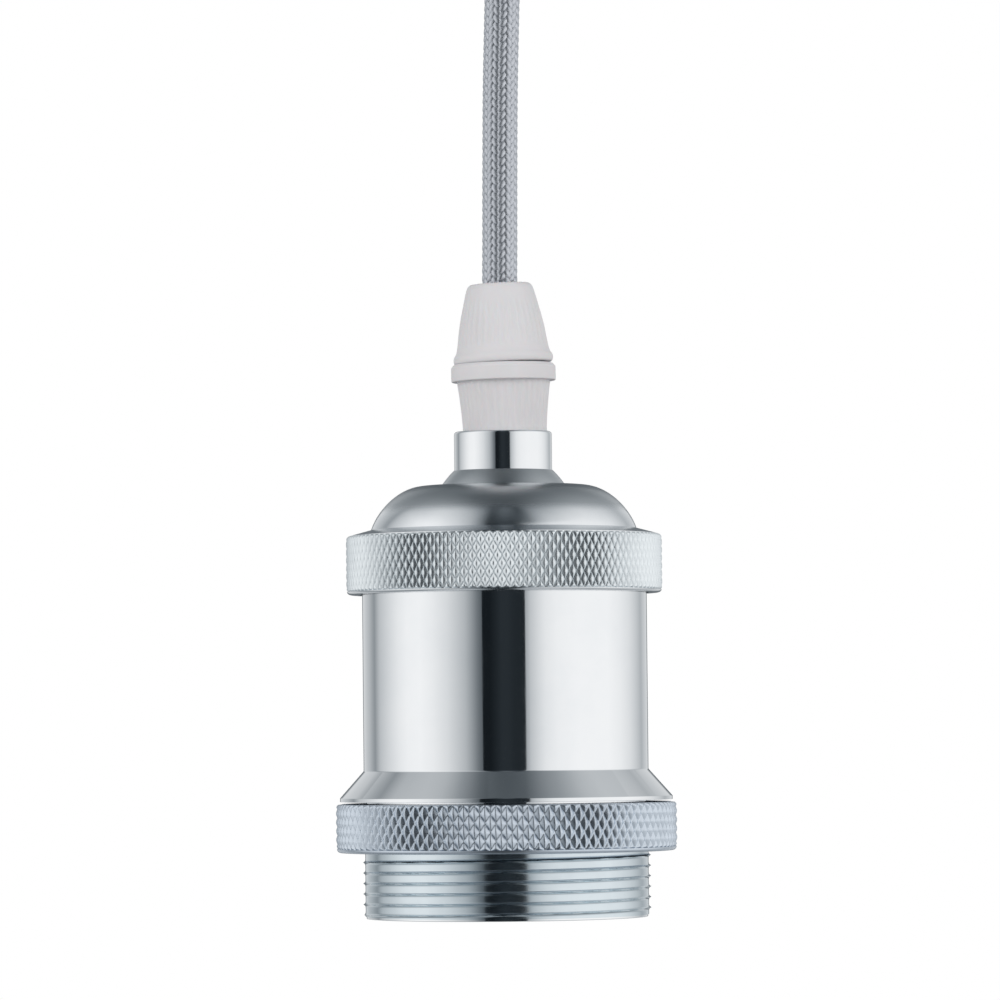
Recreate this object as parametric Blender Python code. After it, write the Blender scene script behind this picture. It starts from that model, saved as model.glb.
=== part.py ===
"""Pendant light: a screw-socket lamp holder that hangs on a short textile cord from a ceiling canopy.

The origin is the middle of the ceiling bracket's upper face, which lies against the ceiling. +Z points up,
so the whole light hangs below zero. Lengths are in metres.
"""
import math

import bmesh
import bpy
from mathutils import Matrix, Vector

# Clearances
FIT = 0.0003
THREAD_PLAY = 0.0006
# Cutters reach this far past the faces that they open
OVERCUT = 0.0010

# Lamp holder, from the neck down
HANG_OFFSET = 0.0006
NECK_RADIUS = 0.00674
NECK_HEIGHT = 0.00533
NECK_ROUNDING = 0.0006
SHOULDER_RADIUS = 0.00859
SHOULDER_HEIGHT = 0.0018
DOME_CREST_RADIUS = 0.0110
DOME_INSET = 0.00133
DOME_HEIGHT = 0.00645
DOME_CREST_PULL = 0.38
DOME_FOOT_PULL = 0.46
CAP_WALL = 0.0012
COLLAR_WALL = 0.00218
COLLAR_HEIGHT = 0.00855
COLLAR_CHAMFER = 0.0007
COLLAR_LIP = 0.0004
COLLAR_DIAMONDS = 117
COLLAR_ROWS = 7
BODY_RADIUS = 0.01962
BODY_HEIGHT = 0.02427
BODY_WALL = 0.0015
CONE_HEIGHT = 0.0037
RIM_LEDGE = 0.00306
RIM_HEIGHT = 0.0005
SLEEVE_STEP = 0.00022
SLEEVE_HEIGHT = 0.01608
SLEEVE_CHAMFER = 0.0003
SLEEVE_LIP_WIDTH = 0.0012
SLEEVE_LIP_HEIGHT = 0.0012
RING_WALL = 0.00366
RING_HEIGHT = 0.00668
RING_LIP = 0.00055
RING_EDGE = 0.0003
RING_DIAMONDS = 100
RING_ROWS = 5
KNURL_DEPTH = 0.00045

# Cord grip: a body that screws into the neck, and the nut that squeezes its collet on the cord
GRIP_THREAD_RADIUS = 0.0049
GRIP_STUB_LENGTH = 0.0134
GRIP_BORE = 0.0033
GRIP_SEAT_LIFT = 0.0004
GRIP_SEAT_RADIUS = 0.00578
GRIP_SKIRT_RADIUS = 0.00633
GRIP_SKIRT_HEIGHT = 0.0070
GRIP_WAIST_SHARE = 0.2
GRIP_FLANGE_RADIUS = 0.00722
GRIP_FLANGE_HEIGHT = 0.0024
GRIP_FLANGE_CHAMFER = 0.0005
GRIP_RIBS = 38
GRIP_RIB_DEPTH = 0.00018
COLLET_WALL = 0.0011
COLLET_HEIGHT = 0.0050
GRIP_SEAM = 0.0005
GRIP_NUT_LIP_RADIUS = 0.00687
GRIP_NUT_LIP_HEIGHT = 0.0010
GRIP_NUT_LIP_EDGE = 0.0007
GRIP_NUT_ROOT_RADIUS = 0.00628
GRIP_NUT_TIP_RADIUS = 0.00470
GRIP_NUT_HEIGHT = 0.0102
GRIP_NUT_BELLY_AT = 0.66
GRIP_NUT_BELLY_SHARE = 0.42
GRIP_NUT_TIP_ROUNDING = 0.0008
GRIP_TIP_LENGTH = 0.0022
GRIP_TIP_BORE = 0.0029
GRIP_SHELF_SLOPE = 0.0010
GRIP_BODY_TILT = math.radians(-1.0)
GRIP_NUT_TILT = math.radians(-2.4)
GRIP_NUT_SHIFT = 0.00012

# Locknuts on the grips' threaded stubs
LOCKNUT_HALF_WIDTH = 0.0070
LOCKNUT_HEIGHT = 0.0030

# Bridge strap from the cap to the core
STRAP_LOCKNUT_ROOM = 0.0010
STRAP_HALF_WIDTH = 0.0068
STRAP_CORNER_ROOM = 0.0005
STRAP_THICKNESS = 0.0012
STRAP_FOOT_PAST_SCREW = 0.0020

# Socket core and the contacts in it
CORE_FLOOR = 0.0100
CORE_HEAD_PAST_SCREW = 0.0035
CORE_HEAD_HEIGHT = 0.0073
CORE_MOUTH_CHAMFER = 0.0008
SHELL_RECESS = 0.0050
SHELL_HEIGHT = 0.0175
SHELL_CREST = 0.01335
SHELL_THREAD_DEPTH = 0.0011
SHELL_THREAD_PITCH = 0.003629
SHELL_WALL = 0.0004
SHELL_FLANGE_RADIUS = 0.0092
LIVE_AT = -0.0065
NEUTRAL_AT = 0.0112
RIVET_RADIUS = 0.0013
RIVET_HEAD_RADIUS = 0.0017
RIVET_HEAD_HEIGHT = 0.0005
TONGUE_HALF_WIDTH = 0.0025
TONGUE_THICKNESS = 0.0005
TONGUE_DROP = 0.0030
TONGUE_ROOT_REACH = 0.0021
TONGUE_LOW_AT = 0.0005
TONGUE_TIP_AT = 0.0030
TONGUE_TIP_LIFT = 0.0006
TONGUE_MITRE = 0.0002
TERMINAL_HALF_LENGTH = 0.0040
TERMINAL_HALF_WIDTH = 0.0028
TERMINAL_HEIGHT = 0.0090
POCKET_DEPTH = 0.0053
TERMINAL_SCREW_RADIUS = 0.0012
TERMINAL_HEAD_RADIUS = 0.0019
TERMINAL_HEAD_HEIGHT = 0.0018
TERMINAL_SCREW_DROP = 0.0020
WIRE_HOLE_DEPTH = 0.0045
CORE_SCREW_TO_LEG = 0.0028
CORE_SCREW_RADIUS = 0.0015
CORE_SCREW_LENGTH = 0.0060
CORE_SCREW_HEAD_RADIUS = 0.0024
CORE_SCREW_HEAD_HEIGHT = 0.0016
EARTH_SCREW_DROP = 0.0110
EARTH_SCREW_PAST_LEG = 0.0010

# Screw heads, as shares of the head's radius and height
HEAD_CROWN_SHARE = 0.8
HEAD_SIDE_SHARE = 0.7
SLOT_WIDTH_SHARE = 0.35
SLOT_DEPTH_SHARE = 0.4

# Cord and the wires inside it
CORD_DIAMETER = 0.0050
FREE_CORD = 0.0428
CORD_INSERTION = 0.0076
WIRE_DIAMETER = 0.0020
WIRE_CIRCLE = 0.00135
WIRE_TAIL = 0.0005
WIRE_FAN_SHARE = 0.45
WIRE_FAN_HEIGHT = 0.0100
WIRE_TURN_HEIGHT = 0.0050
WIRE_LEAD = 0.0015
LIVE_WIRE_ASIDE = 0.0008
NEUTRAL_WIRE_ASIDE = 0.0022
EARTH_WIRE_ASIDE = 0.0042
EARTH_WIRE_FRONT = 0.0006
EARTH_WIRE_DROP = 0.0022
CANOPY_WIRE_CREST = 0.0045
CANOPY_WIRE_FALL = 0.0020
CANOPY_WIRE_DIP = 0.0030
# Where the canopy's wires bend, as shares of their way aside and of their way to the block
CANOPY_WIRE_BENDS = ((0.35, 0.25), (0.80, 0.62), (1.00, 0.78))
# The cord's slight sway: a share of its free length, and how far it stands off the holder's axis there
CORD_SWAY = ((-0.02, -0.00022), (0.14, -0.00016), (0.37, -0.00006), (0.63, 0.00010), (0.86, 0.00038),
             (1.02, 0.00058))
CORD_SPACING = 2.5 * CORD_DIAMETER
WIRE_SPACING = 1.6 * WIRE_DIAMETER

# Ceiling fitting
CANOPY_RADIUS = 0.0400
CANOPY_DEPTH = 0.0250
CANOPY_WALL = 0.0012
CANOPY_ROUNDING = 0.0040
BRACKET_EAR_ROOM = 0.0012
BRACKET_HALF_WIDTH = 0.0070
BRACKET_THICKNESS = 0.0015
BRACKET_EAR_HEIGHT = 0.0110
BRACKET_SLOT_AT = 0.0200
BRACKET_SLOT_HALF_LENGTH = 0.0080
BRACKET_SLOT_HALF_WIDTH = 0.0019
SIDE_SCREW_DROP = 0.0060
SIDE_SCREW_RADIUS = 0.0015
SIDE_SCREW_REACH = 0.0050
SIDE_HEAD_RADIUS = 0.0030
SIDE_HEAD_HEIGHT = 0.0030
BLOCK_HALF_LENGTH = 0.0130
BLOCK_HALF_WIDTH = 0.0070
BLOCK_HEIGHT = 0.0110
BLOCK_AT = -0.0200
BLOCK_WAY_SPACING = 0.0080
BLOCK_WAY_HEIGHT = 0.0055
BLOCK_WAY_DEPTH = 0.0060

# Fineness of the turned surfaces
COARSE_STEPS = 39
GRIP_STEPS = 38
SMALL_STEPS = 12
BODY_STEPS = 52
CANOPY_STEPS = 40
STRAP_HOLE_STEPS = 18
SHELL_STEPS = 20
SHELL_LEVELS_PER_TURN = 5
SHARP_ANGLE = math.radians(35)

# Finishes: colour, roughness, metallic
CHROME = ((0.80, 0.82, 0.83), 0.08, 1.0)
SATIN_CHROME = ((0.70, 0.72, 0.74), 0.22, 1.0)
WHITE_PLASTIC = ((0.78, 0.78, 0.77), 0.45, 0.0)
TEXTILE = ((0.42, 0.43, 0.46), 0.85, 0.0)
PORCELAIN = ((0.86, 0.85, 0.81), 0.25, 0.0)
BRASS = ((0.80, 0.62, 0.30), 0.28, 1.0)
NICKEL = ((0.72, 0.70, 0.65), 0.25, 1.0)
ZINC_STEEL = ((0.62, 0.64, 0.67), 0.35, 1.0)
BLOCK_PLASTIC = ((0.85, 0.84, 0.78), 0.50, 0.0)
LIVE_INSULATION = ((0.25, 0.11, 0.05), 0.50, 0.0)
NEUTRAL_INSULATION = ((0.04, 0.15, 0.48), 0.50, 0.0)
EARTH_INSULATION = ((0.30, 0.52, 0.06), 0.50, 0.0)

# Radii and places worked out from the sizes
DOME_RADIUS = BODY_RADIUS - DOME_INSET
COLLAR_RADIUS = BODY_RADIUS + COLLAR_WALL
SLEEVE_RADIUS = BODY_RADIUS + SLEEVE_STEP
RIM_RADIUS = SLEEVE_RADIUS + RIM_LEDGE
RING_RADIUS = SLEEVE_RADIUS + RING_WALL
STRAP_HALF_SPAN = LOCKNUT_HALF_WIDTH + STRAP_LOCKNUT_ROOM + STRAP_THICKNESS
CORE_SCREW_AT = STRAP_HALF_SPAN + CORE_SCREW_TO_LEG
STRAP_FOOT_REACH = CORE_SCREW_AT + STRAP_FOOT_PAST_SCREW
CORE_HEAD_RADIUS = CORE_SCREW_AT + CORE_HEAD_PAST_SCREW
BRACKET_HALF_LENGTH = CANOPY_RADIUS - CANOPY_WALL - BRACKET_EAR_ROOM

# Heights worked out from the sizes. Holder heights are counted from the neck's upper face.
NECK_FOOT = -NECK_HEIGHT
SHOULDER_FOOT = NECK_FOOT - SHOULDER_HEIGHT
DOME_FOOT = SHOULDER_FOOT - DOME_HEIGHT
COLLAR_FOOT = DOME_FOOT - COLLAR_HEIGHT
CONE_TOP = COLLAR_FOOT - BODY_HEIGHT
CONE_FOOT = CONE_TOP - CONE_HEIGHT
RIM_FOOT = CONE_FOOT - RIM_HEIGHT
SLEEVE_FOOT = RIM_FOOT - SLEEVE_HEIGHT
BODY_BORE = BODY_RADIUS - BODY_WALL
BODY_TOP = DOME_FOOT - CAP_WALL - FIT
THREAD_BORE = GRIP_THREAD_RADIUS + THREAD_PLAY
CORE_FOOT = SLEEVE_FOOT + SLEEVE_LIP_HEIGHT + FIT
CORE_RADIUS = BODY_BORE - FIT
SHELL_FOOT = CORE_FOOT + SHELL_RECESS
SHELL_TOP = SHELL_FOOT + SHELL_HEIGHT
CORE_CEILING = SHELL_TOP + FIT
CORE_TOP = CORE_CEILING + CORE_FLOOR
POCKET_FLOOR = CORE_TOP - POCKET_DEPTH
TERMINAL_FOOT = POCKET_FLOOR + FIT
TERMINAL_TOP = TERMINAL_FOOT + TERMINAL_HEIGHT
STRAP_TOP = SHOULDER_FOOT - CAP_WALL - FIT - STRAP_CORNER_ROOM
FOOT_TOP = CORE_TOP + FIT + STRAP_THICKNESS
GRIP_FLANGE_TOP = GRIP_SEAT_LIFT + GRIP_SKIRT_HEIGHT + GRIP_FLANGE_HEIGHT
GRIP_LENGTH = GRIP_FLANGE_TOP + GRIP_SEAM + GRIP_NUT_HEIGHT
UPPER_TIP = -CANOPY_DEPTH - GRIP_LENGTH
LOWER_TIP = UPPER_TIP - FREE_CORD
NECK_TOP = LOWER_TIP - GRIP_LENGTH


def remove_old_objects():
    for old in list(bpy.data.objects):
        bpy.data.objects.remove(old)


def add_frame(name, location, parent=None):
    """An empty that places the pieces of one assembly."""
    frame = bpy.data.objects.new(name, None)
    frame.location = location
    frame.parent = parent
    bpy.context.scene.collection.objects.link(frame)
    return frame


def make_material(name, finish):
    colour, roughness, metallic = finish
    material = bpy.data.materials.new(name + "_finish")
    material.use_nodes = True
    shader = material.node_tree.nodes["Principled BSDF"]
    shader.inputs["Base Color"].default_value = (*colour, 1.0)
    shader.inputs["Roughness"].default_value = roughness
    shader.inputs["Metallic"].default_value = metallic
    return material


def add_piece(name, bm, finish, parent=None):
    """Turn a bmesh into one named sub-part with a material of its own."""
    bmesh.ops.recalc_face_normals(bm, faces=bm.faces)
    mesh = bpy.data.meshes.new(name)
    bm.to_mesh(mesh)
    bm.free()
    mesh.shade_smooth()
    mesh.set_sharp_from_angle(angle=SHARP_ANGLE)
    mesh.materials.append(make_material(name, finish))
    piece = bpy.data.objects.new(name, mesh)
    piece.parent = parent
    bpy.context.scene.collection.objects.link(piece)
    return piece


def shape_with(piece, name, bm, operation="DIFFERENCE"):
    """Cut a shape out of a piece, or unite it with the piece, by a Boolean modifier."""
    bmesh.ops.recalc_face_normals(bm, faces=bm.faces)
    mesh = bpy.data.meshes.new(name)
    bm.to_mesh(mesh)
    bm.free()
    tool = bpy.data.objects.new(name, mesh)
    tool.parent = piece.parent
    tool.display_type = "WIRE"
    tool.hide_render = True
    bpy.context.scene.collection.objects.link(tool)
    boolean = piece.modifiers.new(name, "BOOLEAN")
    boolean.operation = operation
    boolean.solver = "EXACT"
    boolean.object = tool


def circle(radius, height, steps):
    """Points of a level circle about the Z axis."""
    turns = [2 * math.pi * step / steps for step in range(steps)]
    return [Vector((radius * math.cos(a), radius * math.sin(a), height)) for a in turns]


def join_rings(bm, first, second):
    """Face the band between two rings of vertices, whatever number of vertices each has."""
    i = 0
    j = 0
    while i < len(first) or j < len(second):
        here = first[i % len(first)]
        there = second[j % len(second)]
        ahead = first[(i + 1) % len(first)]
        across = second[(j + 1) % len(second)]
        lead = (i + 0.5) / len(first) - (j + 0.5) / len(second)
        if abs(lead) < 1e-9:
            bm.faces.new((here, ahead, across, there))
            i += 1
            j += 1
        elif lead < 0:
            bm.faces.new((here, ahead, there))
            i += 1
        else:
            bm.faces.new((here, across, there))
            j += 1


def add_ring_solid(bm, rings):
    """A ring-shaped solid: its section's corners are given as rings of points, in order round it."""
    loops = [[bm.verts.new(point) for point in ring] for ring in rings]
    for index, loop in enumerate(loops):
        join_rings(bm, loops[index - 1], loop)


def add_turned(bm, outline, steps=COARSE_STEPS, placed=None):
    """A turned solid. Its outline of (radius, height) points is closed, or has both ends on the axis."""
    corners = [bm.verts.new((radius, 0.0, height)) for radius, height in outline]
    pairs = list(zip(corners, corners[1:]))
    if outline[0][0] > 0:
        pairs.append((corners[-1], corners[0]))
    edges = [bm.edges.new(pair) for pair in pairs]
    before = set(bm.verts) - set(corners)
    bmesh.ops.spin(bm, geom=corners + edges, cent=(0, 0, 0), axis=(0, 0, 1),
                   angle=2 * math.pi, steps=steps, use_merge=True)
    new = [vert for vert in bm.verts if vert not in before]
    bmesh.ops.remove_doubles(bm, verts=new, dist=1e-7)
    if placed is not None:
        new = [vert for vert in bm.verts if vert not in before]
        bmesh.ops.transform(bm, matrix=placed, verts=new)


def add_box(bm, low, high):
    size = Vector(high) - Vector(low)
    middle = (Vector(high) + Vector(low)) / 2
    placed = Matrix.Translation(middle) @ Matrix.Diagonal((*size, 1.0))
    bmesh.ops.create_cube(bm, size=1.0, matrix=placed)


def add_cylinder(bm, radius, start, end, steps=SMALL_STEPS):
    """A cylinder between two points."""
    span = Vector(end) - Vector(start)
    turned = span.to_track_quat("Z", "Y").to_matrix().to_4x4()
    placed = Matrix.Translation((Vector(start) + Vector(end)) / 2) @ turned
    bmesh.ops.create_cone(bm, cap_ends=True, segments=steps, radius1=radius, radius2=radius,
                          depth=span.length, matrix=placed)


def add_extruded(bm, outline, axis, low, high):
    """A flat outline pushed along X or Y. Its points are (y, z) along X, or (x, z) along Y."""
    if axis == "X":
        corners = [bm.verts.new((low, across, height)) for across, height in outline]
        push = Vector((high - low, 0, 0))
    else:
        corners = [bm.verts.new((across, low, height)) for across, height in outline]
        push = Vector((0, high - low, 0))
    face = bm.faces.new(corners)
    grown = bmesh.ops.extrude_face_region(bm, geom=[face], use_keep_orig=True)
    moved = [item for item in grown["geom"] if isinstance(item, bmesh.types.BMVert)]
    bmesh.ops.translate(bm, verts=moved, vec=push)


def arc(middle, radius, start, end, steps):
    """Points (radius, height) along an arc, angles in degrees."""
    turns = [math.radians(start + (end - start) * step / steps) for step in range(steps + 1)]
    return [(middle[0] + radius * math.cos(a), middle[1] + radius * math.sin(a)) for a in turns]


def dome_profile(inset, steps):
    """The dome's curve from its flat crest to its foot, or that curve moved in and down by the wall."""
    crest = Vector((DOME_CREST_RADIUS - inset, SHOULDER_FOOT - inset))
    foot = Vector((DOME_RADIUS - inset, DOME_FOOT - inset))
    crest_pull = crest + Vector((DOME_CREST_PULL * (DOME_RADIUS - DOME_CREST_RADIUS), 0))
    foot_pull = foot + Vector((0, DOME_FOOT_PULL * DOME_HEIGHT))
    points = []
    for step in range(steps + 1):
        t = step / steps
        s = 1 - t
        points.append(s**3 * crest + 3 * s * s * t * crest_pull + 3 * s * t * t * foot_pull + t**3 * foot)
    return [tuple(point) for point in points]


def knurl_rings(radius, top, foot, diamonds, rows):
    """Rings whose points are high and low in turn, so that four faces rise to each high point."""
    rings = []
    for row in range(rows + 1):
        ring = circle(radius, top + (foot - top) * row / rows, 2 * diamonds)
        for step, point in enumerate(ring):
            if (step + row) % 2:
                point.xy *= (radius - KNURL_DEPTH) / radius
        rings.append(ring)
    return rings


def face_knurl(bm, rings):
    """Face a knurl along its grooves, which run from low point to low point."""
    loops = [[bm.verts.new(point) for point in ring] for ring in rings]
    for row, (upper, lower) in enumerate(zip(loops, loops[1:])):
        for step, vert in enumerate(upper):
            beside = upper[(step + 1) % len(upper)]
            below = lower[step]
            across = lower[(step + 1) % len(lower)]
            if (step + row) % 2:
                bm.faces.new((vert, beside, across))
                bm.faces.new((vert, across, below))
            else:
                bm.faces.new((vert, beside, below))
                bm.faces.new((beside, across, below))
    return loops[0], loops[-1]


def add_knurled(bm, knurl, above, inside):
    """A ring-shaped solid with a knurl. Plain circles lead round the section from the knurl's foot back to
    its top: first those in inside, and then those in above."""
    first, last = face_knurl(bm, knurl)
    loops = [[bm.verts.new(point) for point in ring] for ring in inside + above]
    join_rings(bm, last, loops[0])
    for near, far in zip(loops, loops[1:]):
        join_rings(bm, near, far)
    join_rings(bm, loops[-1], first)


def make_screw(name, tip, head, shaft_radius, head_radius, head_height, finish, parent=None):
    """A slotted screw from its tip to the underside of its head."""
    along = Vector(head) - Vector(tip)
    length = along.length
    outline = [(0, length + head_height), (HEAD_CROWN_SHARE * head_radius, length + head_height),
               (head_radius, length + HEAD_SIDE_SHARE * head_height), (head_radius, length),
               (shaft_radius, length), (shaft_radius, 0), (0, 0)]
    turned = Matrix.Translation(Vector(tip)) @ along.to_track_quat("Z", "Y").to_matrix().to_4x4()
    bm = bmesh.new()
    add_turned(bm, outline, SMALL_STEPS, turned)
    screw = add_piece(name, bm, finish, parent)
    slot = bmesh.new()
    sizes = (2 * (head_radius + OVERCUT), SLOT_WIDTH_SHARE * head_radius,
             2 * SLOT_DEPTH_SHARE * head_height, 1.0)
    placed = turned @ Matrix.Translation((0, 0, length + head_height)) @ Matrix.Diagonal(sizes)
    bmesh.ops.create_cube(slot, size=1.0, matrix=placed)
    shape_with(screw, name + "_slot", slot)


def make_cap(holder):
    """Neck, shoulder, dome and knurled collar, turned in one piece."""
    shoulder_rise = SHOULDER_RADIUS - NECK_RADIUS
    quarter = [0, 30, 60, 90]
    shoulder = [(NECK_RADIUS + shoulder_rise * math.sin(math.radians(a)),
                 SHOULDER_FOOT + SHOULDER_HEIGHT * math.cos(math.radians(a))) for a in quarter]
    neck_edge = arc((NECK_RADIUS - NECK_ROUNDING, -NECK_ROUNDING), NECK_ROUNDING, 90, 0, 2)
    outer = [(THREAD_BORE, 0)] + neck_edge + shoulder + dome_profile(0, 6)
    outer.append((COLLAR_RADIUS - KNURL_DEPTH, DOME_FOOT - COLLAR_CHAMFER))
    inner = [(COLLAR_RADIUS, COLLAR_FOOT + COLLAR_LIP), (COLLAR_RADIUS, COLLAR_FOOT),
             (BODY_RADIUS + FIT, COLLAR_FOOT), (BODY_RADIUS + FIT, DOME_FOOT - CAP_WALL)]
    inner += dome_profile(CAP_WALL, 4)[::-1]
    inner.append((THREAD_BORE, SHOULDER_FOOT - CAP_WALL))
    knurl = knurl_rings(COLLAR_RADIUS, DOME_FOOT - COLLAR_CHAMFER - KNURL_DEPTH / 2,
                        COLLAR_FOOT + COLLAR_LIP + KNURL_DEPTH / 2, COLLAR_DIAMONDS, COLLAR_ROWS)
    bm = bmesh.new()
    add_knurled(bm, knurl, above=[circle(r, z, COARSE_STEPS) for r, z in outer],
                inside=[circle(r, z, COARSE_STEPS) for r, z in inner])
    add_piece("cap", bm, CHROME, holder)


def make_body_shell(holder):
    """Cylinder, cone, rim and sleeve, turned in one piece. The sleeve's lip carries the socket core."""
    outline = [(BODY_RADIUS, BODY_TOP), (BODY_RADIUS, CONE_TOP), (RIM_RADIUS, CONE_FOOT),
               (RIM_RADIUS, RIM_FOOT), (SLEEVE_RADIUS, RIM_FOOT),
               (SLEEVE_RADIUS, SLEEVE_FOOT + SLEEVE_CHAMFER),
               (SLEEVE_RADIUS - SLEEVE_CHAMFER, SLEEVE_FOOT),
               (BODY_BORE - SLEEVE_LIP_WIDTH, SLEEVE_FOOT),
               (BODY_BORE - SLEEVE_LIP_WIDTH, SLEEVE_FOOT + SLEEVE_LIP_HEIGHT),
               (BODY_BORE, SLEEVE_FOOT + SLEEVE_LIP_HEIGHT), (BODY_BORE, BODY_TOP)]
    bm = bmesh.new()
    add_turned(bm, outline, BODY_STEPS)
    add_piece("body_shell", bm, CHROME, holder)


def make_shade_ring(holder):
    """The knurled ring that runs on the sleeve and clamps a shade under the body's rim."""
    ring_frame = add_frame("shade_ring_frame", (0, 0, RIM_FOOT - FIT), holder)
    bore = SLEEVE_RADIUS + FIT
    inner_chamfer = [(bore, -RING_EDGE), (bore + RING_EDGE, 0)]
    above = inner_chamfer + [(RING_RADIUS - KNURL_DEPTH - RING_EDGE, 0)]
    inside = [(RING_RADIUS, -RING_HEIGHT + RING_LIP), (RING_RADIUS - RING_LIP, -RING_HEIGHT),
              (bore + RING_EDGE, -RING_HEIGHT), (bore, -RING_HEIGHT + RING_EDGE)]
    knurl = knurl_rings(RING_RADIUS, -RING_EDGE, -RING_HEIGHT + RING_LIP + KNURL_DEPTH / 4,
                        RING_DIAMONDS, RING_ROWS)
    bm = bmesh.new()
    add_knurled(bm, knurl, above=[circle(r, z, COARSE_STEPS) for r, z in above],
                inside=[circle(r, z, COARSE_STEPS) for r, z in inside])
    add_piece("shade_ring", bm, SATIN_CHROME, ring_frame)


def ribbed_ring(radius, height):
    """A ring with the grip's fine upright ribs."""
    ring = circle(radius, height, 2 * GRIP_RIBS)
    for point in ring[1::2]:
        point.xy *= (radius - GRIP_RIB_DEPTH) / radius
    return ring


def make_grip_body(name, frame):
    """Threaded stub, ribbed skirt, flange and collet of a cord grip, moulded in one piece."""
    skirt_foot = GRIP_SEAT_LIFT
    flange_foot = skirt_foot + GRIP_SKIRT_HEIGHT
    waist = GRIP_SEAT_RADIUS + GRIP_WAIST_SHARE * (GRIP_SKIRT_RADIUS - GRIP_SEAT_RADIUS)
    collet = GRIP_BORE + COLLET_WALL
    stub = [(GRIP_BORE, -GRIP_STUB_LENGTH), (GRIP_THREAD_RADIUS, -GRIP_STUB_LENGTH),
            (GRIP_THREAD_RADIUS, skirt_foot)]
    flange = [(GRIP_FLANGE_RADIUS, flange_foot),
              (GRIP_FLANGE_RADIUS, GRIP_FLANGE_TOP - GRIP_FLANGE_CHAMFER),
              (GRIP_FLANGE_RADIUS - GRIP_FLANGE_CHAMFER, GRIP_FLANGE_TOP)]
    top = [(collet, GRIP_FLANGE_TOP), (collet, GRIP_FLANGE_TOP + COLLET_HEIGHT),
           (GRIP_BORE, GRIP_FLANGE_TOP + COLLET_HEIGHT)]
    rings = [circle(r, z, GRIP_STEPS // 2) for r, z in stub]
    rings.append(ribbed_ring(GRIP_SEAT_RADIUS, skirt_foot))
    rings.append(ribbed_ring(waist, skirt_foot + GRIP_SKIRT_HEIGHT / 2))
    rings.append(ribbed_ring(GRIP_SKIRT_RADIUS, flange_foot))
    rings += [circle(r, z, GRIP_STEPS) for r, z in flange]
    rings += [circle(r, z, GRIP_STEPS // 2) for r, z in top]
    bm = bmesh.new()
    add_ring_solid(bm, rings)
    add_piece(name, bm, WHITE_PLASTIC, frame)


def make_grip_nut(name, frame):
    """The ribbed nut of a cord grip, wide inside over the collet and narrow at its tip round the cord."""
    wide_bore = GRIP_BORE + COLLET_WALL + 2 * FIT
    shelf = GRIP_NUT_HEIGHT - GRIP_TIP_LENGTH
    belly = GRIP_NUT_ROOT_RADIUS + GRIP_NUT_BELLY_SHARE * (GRIP_NUT_TIP_RADIUS - GRIP_NUT_ROOT_RADIUS)
    lip = [(GRIP_NUT_LIP_RADIUS, 0), (GRIP_NUT_LIP_RADIUS, GRIP_NUT_LIP_EDGE)]
    tip_edge = arc((GRIP_NUT_TIP_RADIUS - GRIP_NUT_TIP_ROUNDING, GRIP_NUT_HEIGHT - GRIP_NUT_TIP_ROUNDING),
                   GRIP_NUT_TIP_ROUNDING, 0, 90, 2)
    bore = [(GRIP_TIP_BORE, GRIP_NUT_HEIGHT), (GRIP_TIP_BORE, shelf), (wide_bore, shelf - GRIP_SHELF_SLOPE),
            (wide_bore, 0)]
    rings = [circle(r, z, GRIP_STEPS) for r, z in lip]
    rings.append(ribbed_ring(GRIP_NUT_ROOT_RADIUS, GRIP_NUT_LIP_HEIGHT))
    rings.append(ribbed_ring(belly, GRIP_NUT_BELLY_AT * GRIP_NUT_HEIGHT))
    rings += [circle(r, z, GRIP_STEPS) for r, z in tip_edge]
    rings += [circle(r, z, GRIP_STEPS // 2) for r, z in bore]
    bm = bmesh.new()
    add_ring_solid(bm, rings)
    add_piece(name, bm, WHITE_PLASTIC, frame)


def make_grip(side, seat, body_tilt=0.0, nut_tilt=0.0, nut_shift=0.0):
    """A cord grip on a seat. The holder's own grip leans a little, as it was screwed together."""
    body_frame = add_frame(side + "_grip_body_frame", (0, 0, 0), seat)
    body_frame.rotation_euler.y = body_tilt
    nut_frame = add_frame(side + "_grip_nut_frame", (nut_shift, 0, GRIP_FLANGE_TOP + GRIP_SEAM), seat)
    nut_frame.rotation_euler.y = nut_tilt
    make_grip_body(side + "_grip_body", body_frame)
    make_grip_nut(side + "_grip_nut", nut_frame)


def make_locknut(name, frame, top):
    """A hexagon nut on a grip's threaded stub, with two flats square to X."""
    corner = LOCKNUT_HALF_WIDTH / math.cos(math.pi / 6)
    bm = bmesh.new()
    rings = []
    for height in (top - LOCKNUT_HEIGHT, top):
        rings.append([Vector((corner * math.cos(a), corner * math.sin(a), height))
                      for a in [math.radians(30 + 60 * step) for step in range(6)]])
    bores = [circle(THREAD_BORE, height, STRAP_HOLE_STEPS) for height in (top, top - LOCKNUT_HEIGHT)]
    add_ring_solid(bm, rings + bores)
    add_piece(name, bm, ZINC_STEEL, frame)


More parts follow.
